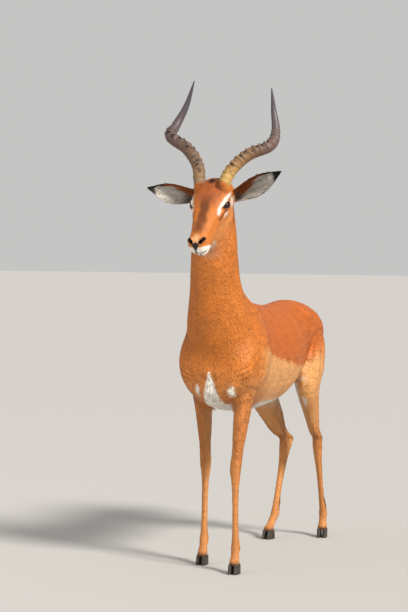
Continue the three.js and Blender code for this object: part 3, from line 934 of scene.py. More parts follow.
def bodyColours(points, normals, label):
    q = toBody(points)
    out, back, up = np.abs(q[:, 0]), q[:, 1], q[:, 2]
    wave = ripple(q, 0.05, 3)
    fine = ripple(q, 0.014, 4)
    edge = np.interp(back, [-0.09, 0.04, 0.13, 0.25, 0.37, 0.40, 0.48, 0.60],
                     [0.745, 0.697, 0.678, 0.654, 0.655, 0.667, 0.696, 0.70]) + 0.004 * wave + 0.0015 * fine
    colour = np.tile(linear(coatColours["orange"]), (len(q), 1))
    onTrunk = (label == "trunk") | (label == "tail")
    onBody = onTrunk | (label == "neck")
    soft = 0.006 + 0.06 * ramp(back, 0.40, 0.52)
    above = ramp(up, edge - soft, edge + soft + 0.004)
    behind = ramp(back, -0.17, 0.05)
    colour = blend(colour, "saddle", onBody * above * behind)
    below = onBody * (1 - above) * ramp(back, -0.15, -0.02)
    colour = blend(colour, "tan", below * (1 - 0.45 * ramp(back, 0.42, 0.5)))
    colour = blend(colour, "tan", 0.4 * onTrunk * (1 - ramp(up, 0.58, 0.70)) * (1 - behind))
    leg = np.char.find(label, "leg_") >= 0
    overLeg = np.maximum(ramp(-back, -0.02, 0.05), ramp(back, 0.35, 0.42))
    colour = blend(colour, "leg", np.maximum(leg, overLeg * (1 - ramp(up, 0.535, 0.66))))
    hindPart = ramp(back, 0.34, 0.38)
    colour = blend(colour, "tan", 0.75 * hindPart * (1 - ramp(up, 0.58, 0.72)) * ramp(up, 0.36, 0.46))
    lower = leg * (1 - ramp(up, 0.30, 0.40))
    colour = blend(colour, "tan", 0.30 * lower)
    side = np.sign(q[:, 0])
    inward = ramp(-normals[:, 0] * side, 0.15, 0.6) * ramp(0.115 - out, 0, 0.02)
    hindLeg = np.char.startswith(label, "hindleg")
    innerThigh = inward * ramp(0.090 - out, 0, 0.02) * hindPart
    colour = blend(colour, "white", innerThigh * ramp(up, 0.47, 0.535) * 0.9)
    colour = blend(colour, "tan", inward * (leg | (up < 0.56)) * ramp(up, 0.10, 0.2) * 0.45)
    # white belly, the flank fold, the inside of the thigh and the breast
    bellyEdge = np.interp(back, [-0.2, -0.13, 0.0, 0.2, 0.35, 0.45],
                          [0.560, 0.557, 0.549, 0.545, 0.556, 0.575])
    belly = 1 - ramp(up, bellyEdge - 0.004 + 0.003 * fine, bellyEdge + 0.004 + 0.003 * fine)
    # over a leg the white keeps to the inner side
    belly *= 1 - np.maximum(overLeg, ramp(back, 0.33, 0.37)) * (1 - innerThigh) * ramp(out, 0.030, 0.050)
    colour = blend(colour, "white", belly * onTrunk)
    for way in (-1, 1):
        fold = spot(q, (way * 0.105, 0.352, 0.604), (0.03, 0.012, 0.012), 0.5)
        colour = blend(colour, "white", 0.5 * onTrunk * fold)
    thighStrip = [(0.100, 0.385, 0.530), (0.095, 0.405, 0.495), (0.088, 0.430, 0.462)]
    strip, _ = nearRoute(folded(q, 0), thighStrip, 0.03)
    colour = blend(colour, "white", 0.85 * (1 - ramp(strip, 0.004, 0.010)) * (hindLeg | onTrunk)
                   * ramp(-normals[:, 1], 0.0, 0.4))
    tall = 0.661 - up
    patchHalf = np.interp(tall, [-0.004, 0.0, 0.02, 0.05, 0.10], [0, 0.004, 0.010, 0.019, 0.032])
    patch = 1 - ramp(np.abs(q[:, 0] + 0.011), patchHalf - 0.003, patchHalf + 0.003 + 0.002 * fine)
    front = onTrunk & (normals[:, 1] < 0.2) & (back < -0.1)
    colour = blend(colour, "white", patch * (tall > -0.004) * front)
    colour = blend(colour, "white", front * spot(q, (-0.058, -0.214, 0.604), (0.008, 0.03, 0.017)))
    colour = blend(colour, "white", front * spot(q, (0.060, -0.210, 0.602), (0.011, 0.03, 0.018)))
    # the rump's white between two black stripes
    rear = onTrunk * ramp(normals[:, 1], 0.05, 0.35) * ramp(back, 0.57, 0.60)
    colour = blend(colour, "white", rear * (1 - ramp(out, 0.030, 0.036)) * (1 - ramp(up, 0.80, 0.83)))
    stripeAt = 0.046 + 0.012 * ramp(up, 0.55, 0.75)
    stripe = 1 - ramp(np.abs(out - stripeAt), 0.006, 0.011)
    colour = blend(colour, "black", rear * stripe * ramp(up, 0.60, 0.65) * (1 - ramp(up, 0.775, 0.81)))
    onTail = label == "tail"
    colour = blend(colour, "white", onTail * ramp(out, 0.009, 0.013) * (1 - ramp(up, 0.76, 0.82)))
    colour = blend(colour, "black", onTail * (1 - ramp(out, 0.006, 0.010)) * ramp(normals[:, 1], -0.2, 0.1)
                   * (1 - ramp(up, 0.80, 0.85)))
    colour = blend(colour, "white", onTail * (1 - ramp(up, 0.53, 0.57)))
    gland = np.char.startswith(label, "hindleg_lower") * ramp(normals[:, 1], -0.1, 0.3)
    colour = blend(colour, "black", gland * (1 - ramp(np.abs(up - 0.128), 0.018, 0.030)))
    colour = blend(colour, "brown", leg * (1 - ramp(up, 0.036, 0.046)) * 0.75)
    tone = 1 + 0.05 * wave + 0.035 * fine
    return colour * tone[:, None]


def headColours(points, label):
    # along the face, out from its middle and above it, both halves alike
    f = toFace(points)
    m = folded(f, 1)
    a, o, b = m.T
    wave = ripple(points, 0.02, 11)
    fine = ripple(points, 0.007, 12)
    colour = np.tile(linear(coatColours["orange"]), (len(f), 1))
    colour = blend(colour, "cheek", ramp(-b, 0.030, 0.075) * ramp(a, 0.02, 0.06))
    crown = (1 - ramp(o, 0.030, 0.050)) * (1 - ramp(a, 0.06, 0.12))
    colour = blend(colour, "crown", crown * ramp(b, -0.03, -0.01))
    bridge = (1 - ramp(o + 0.003 * wave, 0.008, 0.024)) * ramp(a, 0.045, 0.10) * (1 - ramp(a, 0.192, 0.222))
    colour = blend(colour, "brown", 0.80 * bridge * ramp(b, -0.022, -0.010))
    streak = ramp(ripple(m * (1, 5, 5), 0.05, 14), -0.2, 0.9) * ramp(b, -0.03, -0.01)
    colour = blend(colour, "brown", 0.25 * streak * (1 - ramp(a, 0.05, 0.10)))
    # pale fur round the eye
    brow, _ = nearRoute(m, headLines["brow"], 0.03)
    colour = blend(colour, "white", 0.92 * (1 - ramp(brow + 0.001 * fine, 0.0045, 0.0092)))
    colour = blend(colour, "white", 0.65 * spot(m, (0.094, 0.056, -0.050), (0.015, 0.02, 0.010), 0.6))
    colour = blend(colour, "white", 0.65 * spot(m, (0.040, 0.060, -0.052), (0.016, 0.02, 0.016), 0.5))
    colour = blend(colour, "white", 0.80 * spot(m, (0.012, 0.056, -0.072), (0.012, 0.02, 0.012), 0.4))
    tear, _ = nearRoute(m, headLines["tear"], 0.02)
    colour = blend(colour, "brown", 0.85 * (1 - ramp(tear, 0.0018, 0.0060)))
    behind, _ = nearRoute(m, headLines["behindEye"], 0.02)
    colour = blend(colour, "brown", 0.6 * (1 - ramp(behind, 0.0018, 0.0055)))
    # the muzzle, the chin and the throat
    lipTop = np.interp(a, [0.195, 0.215, 0.235, 0.25, 0.27], [-0.062, -0.048, -0.034, -0.022, -0.014])
    lip = ramp(a, 0.218, 0.238) * ramp(lipTop - b, -0.003, 0.004)
    colour = blend(colour, "white", 0.95 * lip)
    noseTop = ramp(a, 0.196, 0.214) * spot(m, (0.234, 0.0, 0.000), (0.016, 0.013, 0.02), 0.6)
    colour = blend(colour, "cream", 0.75 * noseTop)
    mouthHeight = np.interp(a, [0.17, 0.198, 0.222, 0.246, 0.262], [-0.084, -0.073, -0.060, -0.047, -0.040])
    chin = ramp(a, 0.165, 0.190) * ramp(mouthHeight - b, 0.000, 0.004)
    throat = ramp(a, 0.045, 0.085) * ramp(-b, 0.100, 0.118)
    colour = blend(colour, "white", np.maximum(chin, throat))
    corner = spot(m, (0.196, 0.036, -0.076), (0.011, 0.02, 0.005), 0.5)
    colour = blend(colour, "brown", 0.8 * corner)
    colour = blend(colour, "black", 0.95 * spot(f, *crownTuft) * (label == "head"))
    return colour * (1 + 0.05 * wave + 0.04 * fine)[:, None]


def nakedMask(points):
    # bare leather of the nose and lips, and the edges of the lids
    m = folded(toFace(points), 1)
    gap, share = nearRoute(m, [(0.2500, 0.0010, -0.0235)] + nostrilPlan["route"], 0.02)
    rimWide = np.interp(share, [0, 0.25, 0.5, 0.8, 1], [0.0044, 0.0050, 0.0060, 0.0062, 0.0052])
    nose = 1 - ramp(gap, rimWide, rimWide + 0.0018)
    half = np.interp(-m[:, 2], [0.007, 0.012, 0.020, 0.032], [0.0135, 0.0115, 0.0075, 0.0016])
    between = (1 - ramp(m[:, 1], half - 0.0012, half + 0.0012)) * ramp(-m[:, 2], 0.0062, 0.0092)
    between *= ramp(m[:, 0], 0.232, 0.238) * (1 - ramp(-m[:, 2], 0.030, 0.033))
    cleft = (1 - ramp(m[:, 1], 0.0016, 0.0034)) * ramp(m[:, 0], 0.240, 0.246) * ramp(-m[:, 2], 0.012, 0.016)
    mouth, share = nearRoute(m * (1, 0, 1), mouthPlan["line"], 0.02)
    lips = (1 - ramp(mouth, 0.0010, 0.0024)) * (m[:, 0] > 0.19) * (1 - ramp(share, 0.9, 1))
    naked = np.maximum.reduce([nose, between, cleft, lips, ramp(nostrilPit, 0.05, 0.3)])
    for side in signOf:
        gap, _, far, way = lidGap(points, side)
        near = (far < 0.030) & (way @ eyeFrame(side)[0] > 0.05)
        naked = np.maximum(naked, near * (1 - ramp(gap, 0.0014, 0.0030)))
    return naked


def earColours(points, normals, side):
    share, high, hollow = onEarAxes(points, normals, side)
    inside = ramp(hollow, -0.002, 0.004)
    high *= np.sign(earAxes(side)[3][2])
    wave = ripple(points, 0.02, 21)
    colour = np.tile(linear(coatColours["earBack"]), (len(points), 1))
    stripes = ramp(np.cos(high / earBreadth * 9.5 + 0.6) + 0.25 * wave, 0.15, 0.75)
    lining = np.tile(linear(coatColours["white"]), (len(points), 1))
    lining = blend(lining, "grey", 0.42 * stripes * ramp(share, 0.14, 0.3) * (1 - ramp(share, 0.62, 0.85)))
    # painted shade: the lining is darkened brown towards the ear's root
    lining = blend(lining, "brown", 0.85 * (1 - ramp(share + 0.02 * wave, *earShape[side]["shadeFadesTo"])))
    colour += (lining - colour) * inside[:, None]
    upper = high / np.interp(share, [0, 0.3, 0.46, 0.62, 0.77, 0.89, 1],
                             [0.021, 0.029, 0.034, 0.0335, 0.026, 0.015, 0.004])
    rufous = ramp(upper + 0.9 * (1 - ramp(share, 0.05, 0.55)), 0.66, 0.84) * ramp(share, 0.02, 0.10)
    colour = blend(colour, "earBack", rufous * (1 - ramp(share, 0.72, 0.80)))
    rim = ramp(upper, 0.62, 0.84) * ramp(share, 0.58, 0.74)
    colour = blend(colour, "black", rim)
    colour = blend(colour, "black", ramp(share + 0.012 * wave, 0.80, 0.87))
    return colour * (1 + 0.05 * wave)[:, None]


def paintSkin(points, normals, label):
    colour = bodyColours(points, normals, label)
    onHead = relax(np.isin(label, headParts).astype(float), skinLinks, 0.5, 12)
    throatWhite = (label == "neck") * spot(toFace(points), (0.165, 0, -0.125), (0.034, 0.028, 0.014), 0.6)
    colour = blend(colour, "white", 0.5 * throatWhite)
    colour += (headColours(points, label) - colour) * onHead[:, None]
    for side in signOf:
        onEar = relax((label == "ear_" + side).astype(float), skinLinks, 0.5, 6)
        colour += (earColours(points, normals, side) - colour) * onEar[:, None]
    naked = nakedMask(points) * (onHead > 0.5)
    colour += (linear(coatColours["black"]) - colour) * naked[:, None]
    return np.clip(colour, 0.004, 0.95), naked


skinPoints = pointsOf(skin.data)
skinNormals = normalsOf(skin.data)
skinColour, skinNaked = paintSkin(skinPoints, skinNormals, skinLabel)
skinPaint = np.hstack([skinColour, np.ones((len(skinColour), 1))])
addAttribute(skin.data, "coat", "FLOAT_COLOR", skinPaint)
addAttribute(skin.data, "naked", "FLOAT", skinNaked)
print("markings painted")


def hideMaterial():
    # short flat fur, and wet leather where the attribute naked says so
    material, tree, surface = newMaterial("hide")
    place = objectPlace(tree)
    naked = stored(tree, "naked")
    hairs = noise(tree, place, 650, 3, 0.7)
    pebble = addNode(tree, "ShaderNodeTexVoronoi", {"Vector": place, "Scale": 700}).outputs["Distance"]
    tone = remap(tree, hairs, 0.25, 0.75, (0.86, 1.08))
    drift = remap(tree, noise(tree, place, 38, 4), 0.3, 0.7, (0.92, 1.07))
    height = addNode(tree, "ShaderNodeMix", {0: naked, 2: hairs, 3: pebble}).outputs[0]
    colour = scaled(tree, stored(tree, "coat", "Color"), times(tree, tone, drift))
    setInputs(tree, surface, {"Base Color": colour, "Roughness": remap(tree, naked, to=(0.55, 0.30)),
                              "Specular IOR Level": 0.35, "Normal": bumped(tree, height, 0.55, 0.0012)})
    return material


skin.data.materials.append(hideMaterial())
finished(skin, "coat", *fleshNodes)


def treeInput(tree, name, kind, value=None):
    socket = tree.interface.new_socket(name, in_out="INPUT", socket_type="NodeSocket" + kind)
    if value is not None:
        socket.default_value = value
    return socket.identifier


def newTree(name, inputs):
    # a geometry tree with its named inputs; returns the tree, its input node and the identifiers
    tree = bpy.data.node_groups.new(name, "GeometryNodeTree")
    names = {"Geometry": treeInput(tree, "Geometry", "Geometry")}
    for key, (kind, value) in inputs.items():
        names[key] = treeInput(tree, key, kind, value)
    tree.interface.new_socket("Geometry", in_out="OUTPUT", socket_type="NodeSocketGeometry")
    return tree, tree.nodes.new("NodeGroupInput").outputs, names


def endTree(tree, geometry, material):
    # real geometry with its material, as the tree's result
    real = addNode(tree, "GeometryNodeRealizeInstances", {"Geometry": geometry}).outputs[0]
    dressed = addNode(tree, "GeometryNodeSetMaterial", {"Geometry": real, "Material": material}).outputs[0]
    addNode(tree, "NodeGroupOutput", {0: dressed})


def runTree(obj, tree, names, values, finalName):
    grow = obj.modifiers.new("grow", "NODES")
    grow.node_group = tree
    for key, value in values.items():
        grow[names[key]] = value
    return settled(obj, finalName)


def named(tree, name, kind="FLOAT"):
    found = addNode(tree, "GeometryNodeInputNamedAttribute", {"Name": name}, data_type=kind)
    return found.outputs["Attribute"]


def store(tree, geometry, name, value, kind="FLOAT", domain="POINT"):
    inputs = {"Geometry": geometry, "Name": name, "Value": value}
    return addNode(tree, "GeometryNodeStoreNamedAttribute", inputs, data_type=kind, domain=domain).outputs[0]


def hornTree():
    tree, given, names = newTree("hornSweep", {
        "Rings": ("Float", hornPlan["rings"]), "Ringed share": ("Float", hornPlan["ringed"]),
        "Ring height": ("Float", hornPlan["ringHeight"]), "Unevenness": ("Float", 1.3),
        "Stations": ("Int", hornPlan["stations"]), "Sides": ("Int", hornPlan["sides"]),
        "Front": ("Vector", (0.0, -0.15, 0.99)), "Warmth": ("Float", 1.0), "Material": ("Material", None)})
    path = addNode(tree, "GeometryNodeMeshToCurve", {"Mesh": given["Geometry"]}).outputs[0]
    path = addNode(tree, "GeometryNodeResampleCurve", {"Curve": path, "Count": given["Stations"]}).outputs[0]
    along = addNode(tree, "GeometryNodeSplineParameter").outputs["Factor"]
    path = store(tree, path, "share", along)
    ring = addNode(tree, "GeometryNodeCurvePrimitiveCircle", {"Resolution": given["Sides"], "Radius": 1.0})
    ring = store(tree, ring.outputs[0], "round", along)
    inputs = {"Curve": path, "Profile Curve": ring, "Scale": named(tree, "thickness"), "Fill Caps": True}
    swept = addNode(tree, "GeometryNodeCurveToMesh", inputs).outputs[0]
    share, turn = named(tree, "share"), named(tree, "round")
    place = addNode(tree, "GeometryNodeInputPosition").outputs[0]
    wobble = noise(tree, place, 26.0, 2.0)
    grain = noise(tree, place, 240.0, 3.0)
    normal = addNode(tree, "GeometryNodeInputNormal").outputs[0]
    # rings lean round the horn, stand highest at the front and fade out underneath
    facing = addNode(tree, "ShaderNodeVectorMath", {0: normal, 1: given["Front"]}, operation="DOT_PRODUCT")
    facing = facing.outputs["Value"]
    beat = times(tree, calc(tree, "DIVIDE", share, given["Ringed share"]), given["Rings"])
    beat = calc(tree, "MULTIPLY_ADD", facing, 0.14, beat)
    beat = calc(tree, "ADD", beat, times(tree, wobble, given["Unevenness"]))
    steep = times(tree, calc(tree, "SINE", times(tree, beat, 2 * math.pi)), 0.11)
    wave = calc(tree, "COSINE", times(tree, calc(tree, "ADD", beat, steep), 2 * math.pi))
    wave = calc(tree, "POWER", calc(tree, "MULTIPLY_ADD", wave, 0.5, 0.5), 1.35)
    fade = remap(tree, share, 0.56, 0.74, (1.0, 0.0), interpolation_type="SMOOTHSTEP")
    rise = remap(tree, share, 0.06, 0.11)
    upper = remap(tree, facing, -0.5, 0.85, (0.14, 1.0))
    worn = remap(tree, noise(tree, place, 48.0, 1.0), 0.35, 0.65, (0.40, 1.15))
    strength = times(tree, times(tree, fade, rise), times(tree, upper, worn))
    lift = times(tree, calc(tree, "SUBTRACT", wave, 0.38), strength, given["Ring height"])
    ridge = calc(tree, "SUBTRACT", 1.0, times(tree, calc(tree, "SUBTRACT", 1.0, wave), strength))
    # fine lines along the horn and a rough grain, both gone at the tip
    stripe = calc(tree, "SINE", calc(tree, "MULTIPLY_ADD", turn, 2 * math.pi * 17, times(tree, wobble, 9.0)))
    lift = calc(tree, "MULTIPLY_ADD", stripe, 0.00022, lift)
    lift = calc(tree, "MULTIPLY_ADD", calc(tree, "SUBTRACT", grain, 0.5), 0.0016, lift)
    lift = times(tree, lift, remap(tree, share, 0.7, 0.97, (1.0, 0.15)))
    # the ridge value also darkens the grooves in the horn's colour: painted shade
    swept = store(tree, swept, "ridge", ridge)
    # how far the horn is painted as lit rather than in shade
    swept = store(tree, swept, "warmth", given["Warmth"])
    offset = scaled(tree, normal, lift)
    shaped = addNode(tree, "GeometryNodeSetPosition", {"Geometry": swept, "Offset": offset}).outputs[0]
    endTree(tree, shaped, given["Material"])
    return tree, names


# the horn's tones from root to tip as lit, and a darker copy of them that paints the horn in shade
hornTones = {
    "ochre": [(0.0, (190, 156, 88)), (0.14, (176, 138, 76)), (0.28, (140, 106, 68)), (0.46, (108, 82, 68)),
              (0.68, (88, 74, 76)), (0.95, (66, 62, 70))],
    "shadedUmber": [(0.0, (134, 108, 76)), (0.14, (112, 86, 64)), (0.28, (94, 70, 58)), (0.46, (86, 64, 58)),
              (0.68, (84, 70, 74)), (0.95, (66, 63, 72))],
}


def hornMaterial():
    # ochre and worn at the base, slate grey and smooth towards the tip, with painted shade darkening the
    # grooves between the rings; the horn on the shaded side is painted with a darker copy of the tones
    material, tree, surface = newMaterial("hornKeratin")
    place = objectPlace(tree)
    share = stored(tree, "share")
    grain = noise(tree, place, 420, 4, 0.7)
    uneven = calc(tree, "SUBTRACT", noise(tree, place, 42, 5, 0.65), 0.5)
    spotted = calc(tree, "MULTIPLY_ADD", uneven, 0.5, share)
    ochre, shadedUmber = (tonesAlong(tree, spotted, hornTones[name]) for name in ("ochre", "shadedUmber"))
    # painted light and shade: the lit horn mixes towards the ochre tones, the shaded one towards the darker
    # copy
    litMix = calc(tree, "MULTIPLY_ADD", uneven, 2.4, stored(tree, "warmth"))
    litMix = addNode(tree, "ShaderNodeClamp", {"Value": litMix}).outputs[0]
    # painted shade: the grooves between the rings are darkened, most on the upper side
    hollow = calc(tree, "MULTIPLY_ADD", uneven, 0.9, stored(tree, "ridge"))
    hollow = remap(tree, hollow, 0.08, 0.45, (0.15, 1.06))
    fleck = remap(tree, grain, 0.3, 0.7, (0.75, 1.15))
    tone = scaled(tree, colourMix(tree, litMix, shadedUmber, ochre), times(tree, hollow, fleck))
    setInputs(tree, surface, {"Base Color": tone, "Roughness": remap(tree, share, 0.2, 0.9, (0.62, 0.34)),
                              "Normal": bumped(tree, grain, 0.5, 0.001)})
    return material


def makeHorns():
    tree, names = hornTree()
    material = hornMaterial()
    count = hornPlan["pathPoints"]
    for side in signOf:
        line = curveThrough(hornStops(side), 400)
        run = np.concatenate([[0], np.cumsum(np.linalg.norm(np.diff(line, axis=0), axis=1))])
        share = np.linspace(0, 1, count)
        line = np.stack([np.interp(share * run[-1], run, line[:, k]) for k in range(3)], 1)
        radius = hornPlan["baseRadius"] * (1 - share ** 2.4) ** 0.85 + hornPlan["tipRadius"]
        # a waist above the root and a belly half way up
        radius *= 1 - hornPlan["waist"] * (1 - ramp(share, 0.03, 0.11))
        radius *= 1 + hornPlan["belly"] * np.exp(-((share - 0.52) / 0.22) ** 2)
        mesh = bpy.data.meshes.new("hornPath")
        mesh.from_pydata(line.tolist(), [(i, i + 1) for i in range(count - 1)], [])
        addAttribute(mesh, "thickness", "FLOAT", radius)
        # each horn is painted as lit or in shade by this share
        values = {"Material": material, "Warmth": hornPlan["warmth"][side]}
        horn = runTree(newObject("hornPath", mesh), tree, names, values, "horn" + side.capitalize())
        smoothShaded(horn.data)
        finished(horn, "horn", "horn_" + side)


# the eyes: a ball with a bulging cornea, a long level pupil and a brown iris
eyePlan = {"corneaWidth": 0.0105, "bulge": 0.0010, "rings": 44, "sides": 72, "pupilHalf": (0.0068, 0.0034),
           "irisEdge": (0.0095, 0.0118)}


def eyeMaterial():
    material, tree, surface = newMaterial("eyeball")
    x, y = stored(tree, "gazeBack"), stored(tree, "gazeUp")

    def outOf(value, half, power):
        return calc(tree, "POWER", calc(tree, "ABSOLUTE", calc(tree, "DIVIDE", value, half)), power)

    beyond = calc(tree, "ADD", outOf(x, eyePlan["pupilHalf"][0], 2.6), outOf(y, eyePlan["pupilHalf"][1], 2.0))
    pupil = remap(tree, beyond, 0.8, 1.25, (1.0, 0.0))
    far = calc(tree, "SQRT", calc(tree, "ADD", times(tree, x, x), times(tree, y, y)))
    inputs = {"W": times(tree, calc(tree, "ARCTAN2", y, x), 9.0), "Scale": 1.0, "Detail": 4.0}
    threads = addNode(tree, "ShaderNodeTexNoise", inputs, noise_dimensions="1D").outputs[0]
    iris = colourMix(tree, threads, paint(22, 11, 6), paint(66, 36, 18))
    ball = colourMix(tree, remap(tree, far, *eyePlan["irisEdge"]), iris, paint(20, 12, 10))
    colour = colourMix(tree, pupil, ball, (0.004, 0.004, 0.006, 1))
    setInputs(tree, surface, {"Base Color": colour, "Roughness": 0.25, "Specular IOR Level": 0.2,
                              "Coat Weight": 0.5, "Coat Roughness": 0.03, "Coat IOR": 1.33})
    return material


def makeEyes():
    material = eyeMaterial()
    radius = headShape["eyeRadius"]
    for side in signOf:
        gaze, back, upward = eyeFrame(side)
        rings, sides = eyePlan["rings"], eyePlan["sides"]
        points = [gaze * (radius + eyePlan["bulge"])]
        for i in range(1, rings):
            tilt = math.pi * i / rings
            wide = radius * math.sin(tilt)
            swell = eyePlan["bulge"] * max(0.0, 1 - (wide / eyePlan["corneaWidth"]) ** 2) if tilt < 1 else 0
            for k in range(sides):
                turn = 2 * math.pi * k / sides
                around = (back * math.cos(turn) + upward * math.sin(turn)) * math.sin(tilt)
                points.append((gaze * math.cos(tilt) + around) * (radius + swell))
        points.append(-gaze * radius)
        points = np.array(points)
        last = len(points) - 1
        faces = [(0, 1 + k, 1 + (k + 1) % sides) for k in range(sides)]
        for i in range(rings - 2):
            for k in range(sides):
                a, b = 1 + i * sides + k, 1 + i * sides + (k + 1) % sides
                faces.append((a, a + sides, b + sides, b))
        start = 1 + (rings - 2) * sides
        faces += [(start + k, last, start + (k + 1) % sides) for k in range(sides)]
        if np.cross(back, upward) @ gaze < 0:
            faces = [f[::-1] for f in faces]
        mesh = bpy.data.meshes.new("eye" + side.capitalize())
        mesh.from_pydata((points + eyeAt[side]).tolist(), [], faces)
        smoothShaded(mesh)
        addAttribute(mesh, "gazeBack", "FLOAT", points @ back)
        addAttribute(mesh, "gazeUp", "FLOAT", points @ upward)
        mesh.materials.append(material)
        finished(newObject(mesh.name, mesh), "eye", "eye_" + side)


# the hooves: each claw smoothed and ringed with growth lines, its sole kept flat
hoofPlan = {"voxel": 0.0011, "ringPitch": 0.0036, "ringDepth": 0.00035, "rounds": 14, "sole": 0.0007}


def hoofMaterial():
    material, tree, surface = newMaterial("hoofKeratin")
    place = objectPlace(tree)
    tall = addNode(tree, "ShaderNodeMapping", {"Vector": place, "Scale": (420, 420, 40)}).outputs[0]
    streaks = noise(tree, tall, 1.0, 3)
    patches = noise(tree, place, 90, 3)
    tone = tonesAlong(tree, times(tree, streaks, patches), [(0.12, (22, 19, 18)), (0.42, (74, 62, 54))])
    setInputs(tree, surface, {"Base Color": tone, "Roughness": remap(tree, patches, to=(0.32, 0.6)),
                              "Normal": bumped(tree, streaks, 0.4, 0.0006)})
    return material


def makeHooves():
    material = hoofMaterial()
    for name in sorted(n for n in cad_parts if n.startswith("hoof")):
        points, _, faces = nodeShell(name)
        mesh = bpy.data.meshes.new(name)
        mesh.from_pydata(points.tolist(), [], faces.tolist())
        rough = newObject(name, mesh)
        fuse = rough.modifiers.new("fuse", "REMESH")
        fuse.mode = "VOXEL"
        fuse.voxel_size = hoofPlan["voxel"]
        claw = settled(rough, "claw" + name.removeprefix("hoof"))
        mesh = claw.data
        points, links = pointsOf(mesh), linksOf(mesh)
        sole = points[:, 2] < hoofPlan["sole"]
        smooth = relax(points, links, 0.5, hoofPlan["rounds"])
        placePoints(mesh, smooth)
        normals = normalsOf(mesh)
        lost = relax(rowDot(points - smooth, normals), links, 0.5, 20)
        rings = np.cos(smooth[:, 2] * 2 * math.pi / hoofPlan["ringPitch"] + 1.2 * ripple(smooth, 0.03, 5))
        rings *= ramp(smooth[:, 2], 0.003, 0.007) * hoofPlan["ringDepth"]
        smooth += normals * (lost + rings)[:, None]
        smooth[sole, 2] = 0
        smooth[:, 2] = np.maximum(smooth[:, 2], 0)
        placePoints(mesh, smooth)
        smoothShaded(mesh)
        mesh.materials.append(material)
        finished(claw, "hoof", name)


makeHorns()
print("horns made")
makeEyes()
makeHooves()
print("eyes and hooves made")


# the coat: tufts over the skin in the lie of the hair
coatPlan = {"tufts": 23500, "patch": 0.003, "seed": 5, "roll": 0.09,
            "width": (0.0011, 0.0034), "widthOfLength": 0.20, "thicknessOfWidth": 0.15}
# lengths in metres and lifts off the skin in degrees
hairLength = {"body": 0.016, "upperLeg": 0.012, "lowerLeg": 0.0085, "face": 0.0042, "ear": 0.0065,
              "tail": 0.022, "gland": 0.020}
hairLift = {"body": 1.4, "ear": 4.0, "tail": 9.0, "gland": 11.0}
# the parts each piece covers and its share of the tufts
coatPieces = {
    "coatHead": (["head", "eye", "horn"], 1.0),
    "coatEars": (["ear"], 0.55),
    "coatNeck": (["neck"], 1.0),
    "coatShoulders": (["trunk"], 1.0),
    "coatFlanks": (["trunk"], 1.0),
    "coatRump": (["trunk"], 1.0),
    "coatForelegs": (["foreleg"], 0.68),
    "coatHindlegs": (["hindleg"], 0.95),
    "coatTail": (["tail"], 0.50),
}
trunkThirds = {"coatShoulders": (0, 1 / 3), "coatFlanks": (1 / 3, 2 / 3), "coatRump": (2 / 3, 1)}


def hairLie(points, normals, label):
    # the way the hair points, flat on the skin
    q = toBody(points)
    f = toFace(points)
    back = q[:, 1:2]
    lie = np.tile((0.0, 0.15, -1.0), (len(points), 1))
    onTrunk = label == "trunk"
    flank = ramp(back, -0.16, 0.02) * (1 - ramp(back, 0.46, 0.60))
    trunkLie = np.array((0, 0.15, -1.0)) * (1 - flank) + np.array((0, 1.0, -0.42)) * flank
    lie[onTrunk] = trunkLie[onTrunk]
    under = onTrunk & (normals[:, 2] < -0.6)
    lie[under] = (0, 1, 0)
    onHead = np.isin(label, headParts)
    down = ramp(-f[:, 2:3], 0.01, 0.10)
    headLie = -alongAxis * (1 - 0.35 * down) - aboveAxis * 0.75 * down + 0.22 * outAxis * np.sign(f[:, 1:2])
    lie[onHead] = headLie[onHead]
    for side in signOf:
        _, high, hollow = onEarAxes(points, normals, side)
        _, tip, _, across = earAxes(side)
        here = label == "ear_" + side
        sideways = across * (high / earBreadth)[:, None] * 0.25 * (hollow > 0)[:, None]
        lie[here] = (tip + sideways)[here]
    lie[label == "tail"] = (0, 0.12, -1)
    lie = relax(unit(lie), skinLinks, 0.5, 30)
    lie += 0.16 * np.stack([ripple(points, 0.06, 31 + k) for k in range(3)], 1)
    return unit(lie - normals * rowDot(lie, normals)[:, None])


